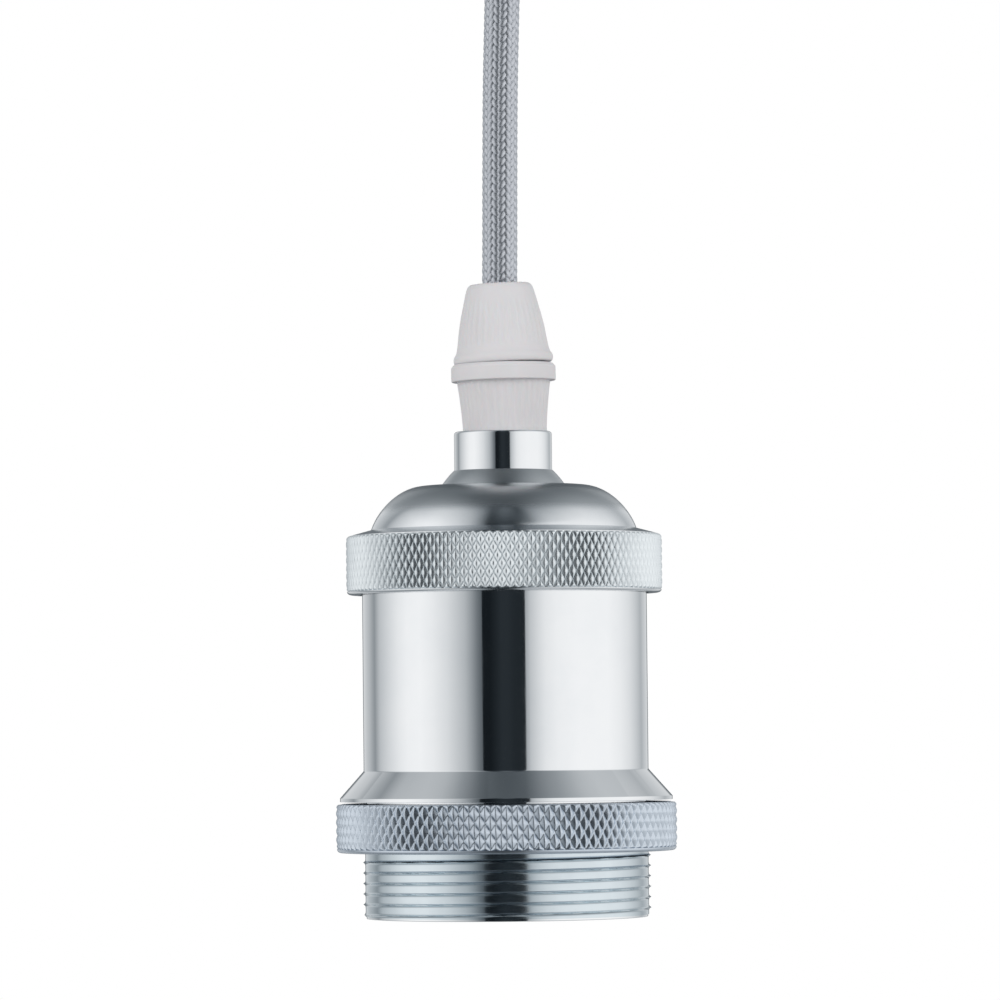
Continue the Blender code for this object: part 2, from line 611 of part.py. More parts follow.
def make_strap(holder):
    """Folded steel strap: the cap hangs on its middle, and its feet are screwed to the socket core."""
    span = STRAP_HALF_SPAN
    wall = STRAP_THICKNESS
    foot = CORE_TOP + FIT
    half = [(span, STRAP_TOP), (span, FOOT_TOP), (STRAP_FOOT_REACH, FOOT_TOP), (STRAP_FOOT_REACH, foot),
            (span - wall, foot), (span - wall, STRAP_TOP - wall)]
    outline = half + [(-x, z) for x, z in reversed(half)]
    bm = bmesh.new()
    add_extruded(bm, outline, "Y", -STRAP_HALF_WIDTH, STRAP_HALF_WIDTH)
    strap = add_piece("bridge_strap", bm, ZINC_STEEL, holder)
    holes = bmesh.new()
    add_cylinder(holes, THREAD_BORE, (0, 0, STRAP_TOP + wall), (0, 0, STRAP_TOP - 2 * wall),
                 STRAP_HOLE_STEPS)
    for side in (-1, 1):
        x = side * CORE_SCREW_AT
        add_cylinder(holes, CORE_SCREW_RADIUS + FIT, (x, 0, FOOT_TOP + wall), (x, 0, foot - wall))
    drop = STRAP_TOP - EARTH_SCREW_DROP
    add_cylinder(holes, TERMINAL_SCREW_RADIUS + FIT, (-span - wall, 0, drop), (-span + 2 * wall, 0, drop))
    shape_with(strap, "strap_holes", holes)


def make_core(holder):
    """Porcelain core: the cup round the screw shell, and the head with pockets for the terminals."""
    bore = SHELL_CREST + SHELL_WALL + FIT
    neck = CORE_TOP - CORE_HEAD_HEIGHT
    slope = CORE_RADIUS - CORE_HEAD_RADIUS
    outline = [(0, CORE_TOP), (CORE_HEAD_RADIUS, CORE_TOP), (CORE_HEAD_RADIUS, neck),
               (CORE_RADIUS, neck - slope / 2), (CORE_RADIUS, CORE_FOOT),
               (bore + CORE_MOUTH_CHAMFER, CORE_FOOT), (bore, CORE_FOOT + CORE_MOUTH_CHAMFER),
               (bore, CORE_CEILING), (0, CORE_CEILING)]
    bm = bmesh.new()
    add_turned(bm, outline)
    core = add_piece("socket_core", bm, PORCELAIN, holder)
    cuts = bmesh.new()
    for y in (LIVE_AT, NEUTRAL_AT):
        add_box(cuts, (-TERMINAL_HALF_LENGTH - FIT, y - TERMINAL_HALF_WIDTH - FIT, POCKET_FLOOR),
                (TERMINAL_HALF_LENGTH + FIT, y + TERMINAL_HALF_WIDTH + FIT, CORE_TOP + OVERCUT))
    for side in (-1, 1):
        x = side * CORE_SCREW_AT
        add_cylinder(cuts, CORE_SCREW_RADIUS + FIT, (x, 0, CORE_TOP + OVERCUT),
                     (x, 0, FOOT_TOP - CORE_SCREW_LENGTH - 2 * FIT))
    shape_with(core, "core_pockets", cuts)
    rivet_holes = bmesh.new()
    for y in (LIVE_AT, NEUTRAL_AT):
        add_cylinder(rivet_holes, RIVET_RADIUS + FIT, (0, y, POCKET_FLOOR + OVERCUT),
                     (0, y, CORE_CEILING - OVERCUT))
    shape_with(core, "core_rivet_holes", rivet_holes)


def make_screw_shell(holder):
    """Thin sheet shell rolled to the bulb's screw thread, with a flange that is riveted to the core."""
    levels = round(SHELL_LEVELS_PER_TURN * SHELL_HEIGHT / SHELL_THREAD_PITCH)
    plain = SHELL_THREAD_PITCH / 2
    waves = []
    for level in range(levels + 1):
        height = SHELL_FOOT + (SHELL_HEIGHT - SHELL_WALL) * level / levels
        edge = min(height - SHELL_FOOT, SHELL_TOP - SHELL_WALL - height)
        depth = SHELL_THREAD_DEPTH * min(1.0, edge / plain)
        ring = circle(SHELL_CREST, height, SHELL_STEPS)
        for step, point in enumerate(ring):
            phase = height / SHELL_THREAD_PITCH - step / SHELL_STEPS
            dip = depth * (0.5 - 0.5 * math.cos(2 * math.pi * phase))
            point.xy *= (SHELL_CREST - dip) / SHELL_CREST
        waves.append(ring)
    outer = [[point.copy() for point in ring] for ring in waves]
    for ring in outer:
        for point in ring:
            point.xy *= 1 + SHELL_WALL / point.xy.length
    outer[-1] = circle(SHELL_CREST + SHELL_WALL, SHELL_TOP, SHELL_STEPS)
    flange = [circle(SHELL_FLANGE_RADIUS, SHELL_TOP, SHELL_STEPS),
              circle(SHELL_FLANGE_RADIUS, SHELL_TOP - SHELL_WALL, SHELL_STEPS)]
    bm = bmesh.new()
    add_ring_solid(bm, outer + flange + waves[::-1])
    shell = add_piece("screw_shell", bm, NICKEL, holder)
    hole = bmesh.new()
    add_cylinder(hole, RIVET_RADIUS + FIT, (0, NEUTRAL_AT, SHELL_TOP + OVERCUT),
                 (0, NEUTRAL_AT, SHELL_TOP - OVERCUT))
    shape_with(shell, "shell_rivet_hole", hole)
    rivet = bmesh.new()
    head_top = SHELL_TOP - SHELL_WALL - FIT
    outline = [(0, POCKET_FLOOR), (RIVET_RADIUS, POCKET_FLOOR), (RIVET_RADIUS, head_top),
               (RIVET_HEAD_RADIUS, head_top), (RIVET_HEAD_RADIUS, head_top - RIVET_HEAD_HEIGHT),
               (0, head_top - RIVET_HEAD_HEIGHT)]
    add_turned(rivet, outline, SMALL_STEPS, Matrix.Translation((0, NEUTRAL_AT, 0)))
    add_piece("shell_rivet", rivet, BRASS, holder)


def make_centre_contact(holder):
    """Springy brass tongue under the core's floor, with the rivet that carries it."""
    top = CORE_CEILING - FIT
    wall = TONGUE_THICKNESS
    back = LIVE_AT - TONGUE_ROOT_REACH
    bend = LIVE_AT + TONGUE_ROOT_REACH
    low = top - TONGUE_DROP
    upper = [(back, top), (bend, top), (TONGUE_LOW_AT, low), (TONGUE_TIP_AT, low + TONGUE_TIP_LIFT)]
    lower = [(y - TONGUE_MITRE, z - wall) for y, z in reversed(upper[1:])] + [(back, top - wall)]
    bm = bmesh.new()
    add_extruded(bm, upper + lower, "X", -TONGUE_HALF_WIDTH, TONGUE_HALF_WIDTH)
    tongue = add_piece("centre_contact", bm, BRASS, holder)
    rivet = bmesh.new()
    outline = [(0, POCKET_FLOOR), (RIVET_RADIUS, POCKET_FLOOR), (RIVET_RADIUS, top - wall / 2),
               (RIVET_RADIUS, top - wall), (RIVET_HEAD_RADIUS, top - wall),
               (RIVET_HEAD_RADIUS, top - wall - RIVET_HEAD_HEIGHT), (0, top - wall - RIVET_HEAD_HEIGHT)]
    add_turned(rivet, outline, SMALL_STEPS, Matrix.Translation((0, LIVE_AT, 0)))
    shape_with(tongue, "contact_rivet", rivet, "UNION")


def make_terminals(holder):
    """Brass pillar terminals in the core's pockets. Each wire stands in a hole, held by a side screw."""
    screw_height = TERMINAL_TOP - TERMINAL_SCREW_DROP
    for name, y in (("live_terminal", LIVE_AT), ("neutral_terminal", NEUTRAL_AT)):
        bm = bmesh.new()
        add_box(bm, (-TERMINAL_HALF_LENGTH, y - TERMINAL_HALF_WIDTH, TERMINAL_FOOT),
                (TERMINAL_HALF_LENGTH, y + TERMINAL_HALF_WIDTH, TERMINAL_TOP))
        terminal = add_piece(name, bm, BRASS, holder)
        wire_hole = bmesh.new()
        add_cylinder(wire_hole, WIRE_DIAMETER / 2 + FIT, (0, y, TERMINAL_TOP + OVERCUT),
                     (0, y, TERMINAL_TOP - WIRE_HOLE_DEPTH))
        shape_with(terminal, name + "_wire_hole", wire_hole)
        screw_hole = bmesh.new()
        add_cylinder(screw_hole, TERMINAL_SCREW_RADIUS + FIT, (0, y, screw_height),
                     (TERMINAL_HALF_LENGTH + OVERCUT, y, screw_height))
        shape_with(terminal, name + "_screw_hole", screw_hole)
        make_screw(name + "_screw", (WIRE_DIAMETER / 2 + FIT, y, screw_height),
                   (TERMINAL_HALF_LENGTH + FIT, y, screw_height), TERMINAL_SCREW_RADIUS,
                   TERMINAL_HEAD_RADIUS, TERMINAL_HEAD_HEIGHT, ZINC_STEEL, holder)


def make_core_screws(holder):
    """The two screws that hold the strap's feet on the core, and the earth screw in the strap's leg."""
    head = FOOT_TOP + FIT
    for side, label in ((-1, "left"), (1, "right")):
        x = side * CORE_SCREW_AT
        make_screw("core_screw_" + label, (x, 0, FOOT_TOP - CORE_SCREW_LENGTH), (x, 0, head),
                   CORE_SCREW_RADIUS, CORE_SCREW_HEAD_RADIUS, CORE_SCREW_HEAD_HEIGHT, ZINC_STEEL, holder)
    drop = STRAP_TOP - EARTH_SCREW_DROP
    inner_face = -STRAP_HALF_SPAN + STRAP_THICKNESS
    make_screw("earth_screw", (-STRAP_HALF_SPAN - EARTH_SCREW_PAST_LEG, 0, drop),
               (inner_face + FIT, 0, drop), TERMINAL_SCREW_RADIUS, TERMINAL_HEAD_RADIUS,
               TERMINAL_HEAD_HEIGHT, BRASS, holder)


def make_canopy():
    """Spun steel cup that hides the ceiling box, with holes for the cord grip and the side screws."""
    floor = -CANOPY_DEPTH
    middle = (CANOPY_RADIUS - CANOPY_ROUNDING, floor + CANOPY_ROUNDING)
    inner_rounding = CANOPY_ROUNDING - CANOPY_WALL
    outline = [(CANOPY_RADIUS, 0)] + arc(middle, CANOPY_ROUNDING, 0, -90, 4)
    outline += [(THREAD_BORE, floor), (THREAD_BORE, floor + CANOPY_WALL)]
    outline += arc(middle, inner_rounding, -90, 0, 4) + [(CANOPY_RADIUS - CANOPY_WALL, 0)]
    bm = bmesh.new()
    add_turned(bm, outline, CANOPY_STEPS)
    canopy = add_piece("canopy", bm, CHROME)
    holes = bmesh.new()
    for side in (-1, 1):
        outside = side * (CANOPY_RADIUS + OVERCUT)
        inside = side * (CANOPY_RADIUS - CANOPY_WALL - OVERCUT)
        add_cylinder(holes, SIDE_SCREW_RADIUS + FIT, (outside, 0, -SIDE_SCREW_DROP),
                     (inside, 0, -SIDE_SCREW_DROP))
    shape_with(canopy, "canopy_holes", holes)


def make_bracket():
    """Folded steel bracket that is screwed to the ceiling. Its ears take the canopy's side screws."""
    reach = BRACKET_HALF_LENGTH
    wall = BRACKET_THICKNESS
    half = [(reach, 0), (reach, -BRACKET_EAR_HEIGHT), (reach - wall, -BRACKET_EAR_HEIGHT),
            (reach - wall, -wall)]
    bm = bmesh.new()
    add_extruded(bm, half + [(-x, z) for x, z in reversed(half)], "Y", -BRACKET_HALF_WIDTH,
                 BRACKET_HALF_WIDTH)
    bracket = add_piece("ceiling_bracket", bm, ZINC_STEEL)
    slots = bmesh.new()
    ears = bmesh.new()
    for side in (-1, 1):
        x = side * BRACKET_SLOT_AT
        add_box(slots, (x - BRACKET_SLOT_HALF_LENGTH, -BRACKET_SLOT_HALF_WIDTH, -2 * wall),
                (x + BRACKET_SLOT_HALF_LENGTH, BRACKET_SLOT_HALF_WIDTH, wall))
        add_cylinder(ears, SIDE_SCREW_RADIUS + FIT, (side * (reach + wall), 0, -SIDE_SCREW_DROP),
                     (side * (reach - 2 * wall), 0, -SIDE_SCREW_DROP))
    shape_with(bracket, "bracket_slots", slots)
    shape_with(bracket, "bracket_ear_holes", ears)


def make_canopy_screws():
    """Two side screws with plain turned heads, through the canopy into the bracket's ears."""
    for side, label in ((-1, "left"), (1, "right")):
        head = side * (CANOPY_RADIUS + FIT)
        make_screw("canopy_screw_" + label, (head - side * SIDE_SCREW_REACH, 0, -SIDE_SCREW_DROP),
                   (head, 0, -SIDE_SCREW_DROP), SIDE_SCREW_RADIUS, SIDE_HEAD_RADIUS,
                   SIDE_HEAD_HEIGHT, CHROME)


def make_terminal_block():
    """Three-way plastic terminal block on the canopy's floor, with its clamp screws."""
    foot = -CANOPY_DEPTH + CANOPY_WALL + FIT
    front = BLOCK_AT + BLOCK_HALF_WIDTH
    top = foot + BLOCK_HEIGHT
    way_height = foot + BLOCK_WAY_HEIGHT
    wire_radius = WIRE_DIAMETER / 2
    bm = bmesh.new()
    add_box(bm, (-BLOCK_HALF_LENGTH, BLOCK_AT - BLOCK_HALF_WIDTH, foot), (BLOCK_HALF_LENGTH, front, top))
    block = add_piece("terminal_block", bm, BLOCK_PLASTIC)
    ways = bmesh.new()
    wells = bmesh.new()
    screw_y = front - BLOCK_WAY_DEPTH / 2
    for way, label in ((-1, "live"), (0, "earth"), (1, "neutral")):
        x = way * BLOCK_WAY_SPACING
        add_cylinder(ways, wire_radius + FIT, (x, front + OVERCUT, way_height),
                     (x, front - BLOCK_WAY_DEPTH, way_height))
        add_cylinder(wells, TERMINAL_HEAD_RADIUS + FIT, (x, screw_y, top + OVERCUT),
                     (x, screw_y, way_height))
        make_screw("block_screw_" + label, (x, screw_y, way_height + wire_radius + FIT),
                   (x, screw_y, top - TERMINAL_HEAD_HEIGHT - FIT), TERMINAL_SCREW_RADIUS,
                   TERMINAL_HEAD_RADIUS, TERMINAL_HEAD_HEIGHT, BRASS)
    shape_with(block, "block_ways", ways)
    shape_with(block, "block_wells", wells)


def smooth_route(points, spacing):
    """Points about this far apart on the smooth curve through the route's own points."""
    points = [Vector(point) for point in points]
    padded = [2 * points[0] - points[1]] + points + [2 * points[-1] - points[-2]]
    route = [points[0]]
    for before, start, end, after in zip(padded, padded[1:], padded[2:], padded[3:]):
        pieces = max(1, round((end - start).length / spacing))
        for piece in range(1, pieces + 1):
            t = piece / pieces
            curve = 2 * start + (end - before) * t
            curve += (2 * before - 5 * start + 4 * end - after) * t**2
            curve += (3 * start - before - 3 * end + after) * t**3
            route.append(curve / 2)
    return route


def add_tube(name, points, diameter, fineness, finish):
    """A round tube along a route, with closed ends."""
    curve = bpy.data.curves.new(name, "CURVE")
    curve.dimensions = "3D"
    curve.bevel_depth = diameter / 2
    curve.bevel_resolution = fineness
    curve.use_fill_caps = True
    spline = curve.splines.new("POLY")
    spline.points.add(len(points) - 1)
    for knot, point in zip(spline.points, points):
        knot.co = (*point, 1.0)
    curve.materials.append(make_material(name, finish))
    tube = bpy.data.objects.new(name, curve)
    bpy.context.scene.collection.objects.link(tube)


def make_cord():
    """The textile cord, from inside the holder's neck to inside the canopy's cord grip."""
    axis = -HANG_OFFSET
    route = [(axis, 0, NECK_TOP - CORD_INSERTION), (axis, 0, NECK_TOP + GRIP_SKIRT_HEIGHT),
             (axis, 0, NECK_TOP + GRIP_FLANGE_TOP)]
    route += [(axis + sway, 0, LOWER_TIP + share * FREE_CORD) for share, sway in CORD_SWAY]
    route += [(0, 0, UPPER_TIP + GRIP_NUT_HEIGHT), (0, 0, -CANOPY_DEPTH + CORD_INSERTION)]
    add_tube("cord", smooth_route(route, CORD_SPACING), CORD_DIAMETER, 3, TEXTILE)


def wire_place(way, height):
    """Where one of the three wires lies inside the cord, at a height."""
    turn = math.radians(120 * way - 90)
    return Vector((WIRE_CIRCLE * math.cos(turn), WIRE_CIRCLE * math.sin(turn), height))


def make_holder_wires():
    """Live, neutral and earth wires from the cord's end to the holder's terminals and earth screw."""
    start = NECK_TOP - CORD_INSERTION - FIT
    stub_end = NECK_TOP - GRIP_STUB_LENGTH - WIRE_TAIL
    shift = Vector((-HANG_OFFSET, 0, 0))
    landing = NECK_TOP + TERMINAL_TOP
    wire_end = landing - WIRE_HOLE_DEPTH + FIT
    earth_x = -STRAP_HALF_SPAN + STRAP_THICKNESS + FIT + TERMINAL_HEAD_HEIGHT / 2
    earth_end = NECK_TOP + STRAP_TOP - EARTH_SCREW_DROP + TERMINAL_HEAD_RADIUS + FIT
    routes = {
        "holder_live_wire": [wire_place(0, start), wire_place(0, stub_end),
                             (LIVE_WIRE_ASIDE, WIRE_FAN_SHARE * LIVE_AT, landing + WIRE_FAN_HEIGHT),
                             (0, LIVE_AT, landing + WIRE_TURN_HEIGHT), (0, LIVE_AT, landing + WIRE_LEAD),
                             (0, LIVE_AT, wire_end)],
        "holder_neutral_wire": [wire_place(1, start), wire_place(1, stub_end),
                                (NEUTRAL_WIRE_ASIDE, WIRE_FAN_SHARE * NEUTRAL_AT,
                                 landing + WIRE_FAN_HEIGHT),
                                (0, NEUTRAL_AT, landing + WIRE_TURN_HEIGHT),
                                (0, NEUTRAL_AT, landing + WIRE_LEAD), (0, NEUTRAL_AT, wire_end)],
        "holder_earth_wire": [wire_place(2, start), wire_place(2, stub_end),
                              (-EARTH_WIRE_ASIDE, EARTH_WIRE_FRONT, stub_end - EARTH_WIRE_DROP),
                              (earth_x, 0, earth_end + WIRE_LEAD), (earth_x, 0, earth_end)],
    }
    finishes = [LIVE_INSULATION, NEUTRAL_INSULATION, EARTH_INSULATION]
    for (name, route), finish in zip(routes.items(), finishes):
        points = smooth_route([Vector(point) + shift for point in route], WIRE_SPACING)
        add_tube(name, points, WIRE_DIAMETER, 2, finish)


def make_canopy_wires():
    """Live, neutral and earth wires from the cord's other end, over into the terminal block."""
    start = -CANOPY_DEPTH + CORD_INSERTION + FIT
    stub_end = -CANOPY_DEPTH + GRIP_STUB_LENGTH + WIRE_TAIL
    front = BLOCK_AT + BLOCK_HALF_WIDTH
    way_height = -CANOPY_DEPTH + CANOPY_WALL + FIT + BLOCK_WAY_HEIGHT
    finishes = [EARTH_INSULATION, NEUTRAL_INSULATION, LIVE_INSULATION]
    names = ["canopy_earth_wire", "canopy_neutral_wire", "canopy_live_wire"]
    for way, (name, finish) in enumerate(zip(names, finishes)):
        x = (0, BLOCK_WAY_SPACING, -BLOCK_WAY_SPACING)[way]
        heights = (stub_end + CANOPY_WIRE_CREST, stub_end + CANOPY_WIRE_FALL, way_height + CANOPY_WIRE_DIP)
        route = [wire_place(way, start), wire_place(way, stub_end)]
        route += [(aside * x, along * front, z) for (aside, along), z in zip(CANOPY_WIRE_BENDS, heights)]
        route += [(x, front + WIRE_LEAD, way_height), (x, front - BLOCK_WAY_DEPTH + FIT, way_height)]
        add_tube(name, smooth_route(route, WIRE_SPACING), WIRE_DIAMETER, 2, finish)


def main():
    remove_old_objects()
    holder = add_frame("holder", (-HANG_OFFSET, 0, NECK_TOP))
    canopy_seat = add_frame("canopy_seat", (0, 0, -CANOPY_DEPTH))
    canopy_seat.rotation_euler.x = math.pi
    make_cap(holder)
    make_body_shell(holder)
    make_shade_ring(holder)
    make_grip("holder", holder, GRIP_BODY_TILT, GRIP_NUT_TILT, GRIP_NUT_SHIFT)
    make_locknut("holder_locknut", holder, STRAP_TOP - STRAP_THICKNESS - FIT)
    make_strap(holder)
    make_core(holder)
    make_screw_shell(holder)
    make_centre_contact(holder)
    make_terminals(holder)
    make_core_screws(holder)
    make_cord()
    make_holder_wires()
    make_canopy()
    make_grip("canopy", canopy_seat)
    make_locknut("canopy_locknut", canopy_seat, -CANOPY_WALL - FIT)
    make_bracket()
    make_canopy_screws()
    make_terminal_block()
    make_canopy_wires()


main()
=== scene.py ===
import math

import bpy
import numpy as np
from mathutils import Matrix, Vector


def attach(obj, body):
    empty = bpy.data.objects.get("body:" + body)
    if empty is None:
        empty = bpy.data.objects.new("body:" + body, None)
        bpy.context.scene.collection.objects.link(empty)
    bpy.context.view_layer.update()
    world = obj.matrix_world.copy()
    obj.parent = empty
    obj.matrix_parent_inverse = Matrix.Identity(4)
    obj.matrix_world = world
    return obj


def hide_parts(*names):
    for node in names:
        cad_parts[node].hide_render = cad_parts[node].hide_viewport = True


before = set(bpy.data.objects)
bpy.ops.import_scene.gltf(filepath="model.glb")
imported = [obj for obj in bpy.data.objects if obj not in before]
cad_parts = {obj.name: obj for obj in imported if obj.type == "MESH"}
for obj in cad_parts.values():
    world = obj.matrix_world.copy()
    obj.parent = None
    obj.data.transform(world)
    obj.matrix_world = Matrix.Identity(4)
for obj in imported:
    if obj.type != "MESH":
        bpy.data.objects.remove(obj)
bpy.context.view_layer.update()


# Camera
# It stands in front of the holder with a long lens, a little below the collar, and looks slightly up.
# The picture leans by half a degree, as the hanging holder does.
camera = bpy.data.objects.new("camera", bpy.data.cameras.new("camera"))
camera.data.sensor_width = 36.0
camera.data.lens = 218.7
camera.data.clip_start = 0.01
camera.data.clip_end = 50.0
camera.matrix_world = (Matrix.Translation((-0.00108, -0.8378, -0.14992))
                       @ Matrix.Rotation(math.radians(92.183), 4, "X")
                       @ Matrix.Rotation(math.radians(-0.55), 4, "Z"))
bpy.context.scene.collection.objects.link(camera)
bpy.context.scene.camera = camera
bpy.context.scene.view_settings.view_transform = "Standard"


# Textile cord
# A round flex sleeved in a braid of 32 flat rayon yarns, each over two and under two of the others.
# It is held in the holder's grip below and in the canopy's grip above, and hangs taut between them.
HOLDER_X = -0.0006
CORD_DIAMETER = 0.0050
SHEATH_INSET = 0.00058
SHEATH_COLUMNS = 24
CORD_ROUTE = [(HOLDER_X, 0, -0.1164), (HOLDER_X, 0, -0.1018), (HOLDER_X, 0, -0.0990),
              (HOLDER_X - 0.00022, 0, -0.08916), (HOLDER_X - 0.00016, 0, -0.08231),
              (HOLDER_X - 0.00006, 0, -0.07246), (HOLDER_X + 0.00010, 0, -0.06134),
              (HOLDER_X + 0.00038, 0, -0.05149), (HOLDER_X + 0.00058, 0, -0.04464),
              (0, 0, -0.0353), (0, 0, -0.0174)]


def smooth_line(points, pieces):
    """Points on the smooth curve through the route's points, in equal steps of the curve's parameter."""
    knots = [np.array(point, float) for point in points]
    knots = [2 * knots[0] - knots[1]] + knots + [2 * knots[-1] - knots[-2]]
    line = [knots[1]]
    for before, start, end, after in zip(knots, knots[1:], knots[2:], knots[3:]):
        for t in np.arange(1, pieces + 1) / pieces:
            line.append(0.5 * (2 * start + (end - before) * t
                               + (2 * before - 5 * start + 4 * end - after) * t**2
                               + (3 * start - before - 3 * end + after) * t**3))
    return np.array(line)


def around(radius, turn, height):
    """Points at a radius, a turn and a height about the Z axis."""
    return np.stack(np.broadcast_arrays(radius * np.cos(turn), radius * np.sin(turn), height), -1)


def even_turns(columns):
    """The angles of evenly spaced columns round the Z axis."""
    return 2 * np.pi * np.arange(columns) / columns


def grid_faces(levels, columns, close_levels=False):
    """Faces between rings of points that follow each other, each ring closed on itself."""
    level = np.arange(levels if close_levels else levels - 1)[:, None]
    column = np.arange(columns)[None, :]
    above = ((level + 1) % levels) * columns
    here = level * columns
    beside = (column + 1) % columns
    faces = np.stack([here + column, here + beside, above + beside, above + column], -1)
    return faces.reshape(-1, 4)


def add_piece(name, points, faces, material, slot, body="fixture", replaced=(), sharp=35, placed=None):
    """One visible piece: its mesh, its material, the body that it rides on and the solids it stands for."""
    mesh = bpy.data.meshes.new(name)
    mesh.from_pydata(np.asarray(points, float).reshape(-1, 3).tolist(), [],
                     faces if isinstance(faces, list) else faces.tolist())
    if placed is not None:
        mesh.transform(placed)
    mesh.shade_smooth()
    mesh.set_sharp_from_angle(angle=math.radians(sharp))
    mesh.materials.append(material)
    piece = bpy.data.objects.new(name, mesh)
    bpy.context.scene.collection.objects.link(piece)
    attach(piece, body)
    if replaced:
        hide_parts(*replaced)
    return piece


def add_uv(piece, name, places):
    """A UV layer, from one place for each of the mesh's points."""
    layer = piece.data.uv_layers.new(name=name)
    corners = np.zeros(len(piece.data.loops), np.int32)
    piece.data.loops.foreach_get("vertex_index", corners)
    layer.data.foreach_set("uv", places[corners].astype(np.float32).ravel())


def new_material(name, colour, roughness, metallic=0.0):
    """A material with a Principled shader, and its node tree."""
    material = bpy.data.materials.new(name)
    material.use_nodes = True
    tree = material.node_tree
    shader = tree.nodes["Principled BSDF"]
    shader.inputs["Base Color"].default_value = (*colour, 1.0)
    shader.inputs["Roughness"].default_value = roughness
    shader.inputs["Metallic"].default_value = metallic
    return material, tree, shader


def add_node(tree, kind, settings=None, **values):
    """A node with its settings and the values of its unlinked sockets."""
    node = tree.nodes.new(kind)
    for key, value in (settings or {}).items():
        setattr(node, key, value)
    for key, value in values.items():
        node.inputs[key.replace("_", " ")].default_value = value
    return node


def new_group(name, inputs, outputs):
    """An empty shader group with named sockets. Inputs are (name, type, default)."""
    group = bpy.data.node_groups.new(name, "ShaderNodeTree")
    for label, kind, value in inputs:
        socket = group.interface.new_socket(label, in_out="INPUT", socket_type=kind)
        socket.default_value = value
    for label, kind in outputs:
        group.interface.new_socket(label, in_out="OUTPUT", socket_type=kind)
    start = group.nodes.new("NodeGroupInput")
    end = group.nodes.new("NodeGroupOutput")
    return group, start, end


def place_group(tree, group, **values):
    """A group in a material, with this material's own values."""
    node = tree.nodes.new("ShaderNodeGroup")
    node.node_tree = group
    for key, value in values.items():
        node.inputs[key.replace("_", " ")].default_value = value
    return node


# The yarn group draws the fine filaments along each flat yarn, from its own across and along measure
yarn_group, start, end = new_group(
    "Yarn filaments",
    [("Light", "NodeSocketColor", (1, 1, 1, 1)), ("Dark", "NodeSocketColor", (0.5, 0.5, 0.5, 1)),
     ("Filaments", "NodeSocketFloat", 6.0), ("Length", "NodeSocketFloat", 900.0)],
    [("Color", "NodeSocketColor"), ("Height", "NodeSocketFloat")])
coords = add_node(yarn_group, "ShaderNodeUVMap", {"uv_map": "yarn"})
split = add_node(yarn_group, "ShaderNodeSeparateXYZ")
across = add_node(yarn_group, "ShaderNodeMath", {"operation": "MULTIPLY"})
along = add_node(yarn_group, "ShaderNodeMath", {"operation": "MULTIPLY"})
joined = add_node(yarn_group, "ShaderNodeCombineXYZ")
fibre = add_node(yarn_group, "ShaderNodeTexNoise", Scale=1.0, Detail=3.0, Roughness=0.6)
tint = add_node(yarn_group, "ShaderNodeMix", {"data_type": "RGBA"})
links = yarn_group.links
links.new(coords.outputs["UV"], split.inputs[0])
links.new(split.outputs["X"], across.inputs[0])
links.new(start.outputs["Filaments"], across.inputs[1])
links.new(split.outputs["Y"], along.inputs[0])
links.new(start.outputs["Length"], along.inputs[1])
links.new(across.outputs[0], joined.inputs["X"])
links.new(along.outputs[0], joined.inputs["Y"])
links.new(joined.outputs[0], fibre.inputs["Vector"])
links.new(fibre.outputs["Fac"], tint.inputs["Factor"])
links.new(start.outputs["Dark"], tint.inputs["A"])
links.new(start.outputs["Light"], tint.inputs["B"])
links.new(tint.outputs["Result"], end.inputs["Color"])
links.new(fibre.outputs["Fac"], end.inputs["Height"])

braid_material, tree, shader = new_material("silver_grey_braid", (0.52, 0.54, 0.58), 0.30, 0.94)
yarns = place_group(tree, yarn_group, Light=(0.74, 0.765, 0.81, 1), Dark=(0.42, 0.44, 0.485, 1),
                    Filaments=9.0, Length=420.0)
bump = add_node(tree, "ShaderNodeBump", Strength=0.5, Distance=0.00006)
tree.links.new(yarns.outputs["Color"], shader.inputs["Base Color"])
tree.links.new(yarns.outputs["Height"], bump.inputs["Height"])
tree.links.new(bump.outputs["Normal"], shader.inputs["Normal"])

YARNS_EACH_WAY = 16
BRAID_LAY = 0.0171
YARN_WIDTH = 0.00084
YARN_THICKNESS = 0.00030
BRAID_RADIUS = 0.00214
BRAID_RISE = 0.00016
BRAID_END = 0.0005
STEPS_PER_FLOAT = 9
FLOAT_FLATNESS = 1.25
RISING_PHASE = -0.5
FALLING_PHASE = -2.5
YARN_SHIFT_ALONG = 0.037
YARN_SHIFT_ACROSS = 0.31

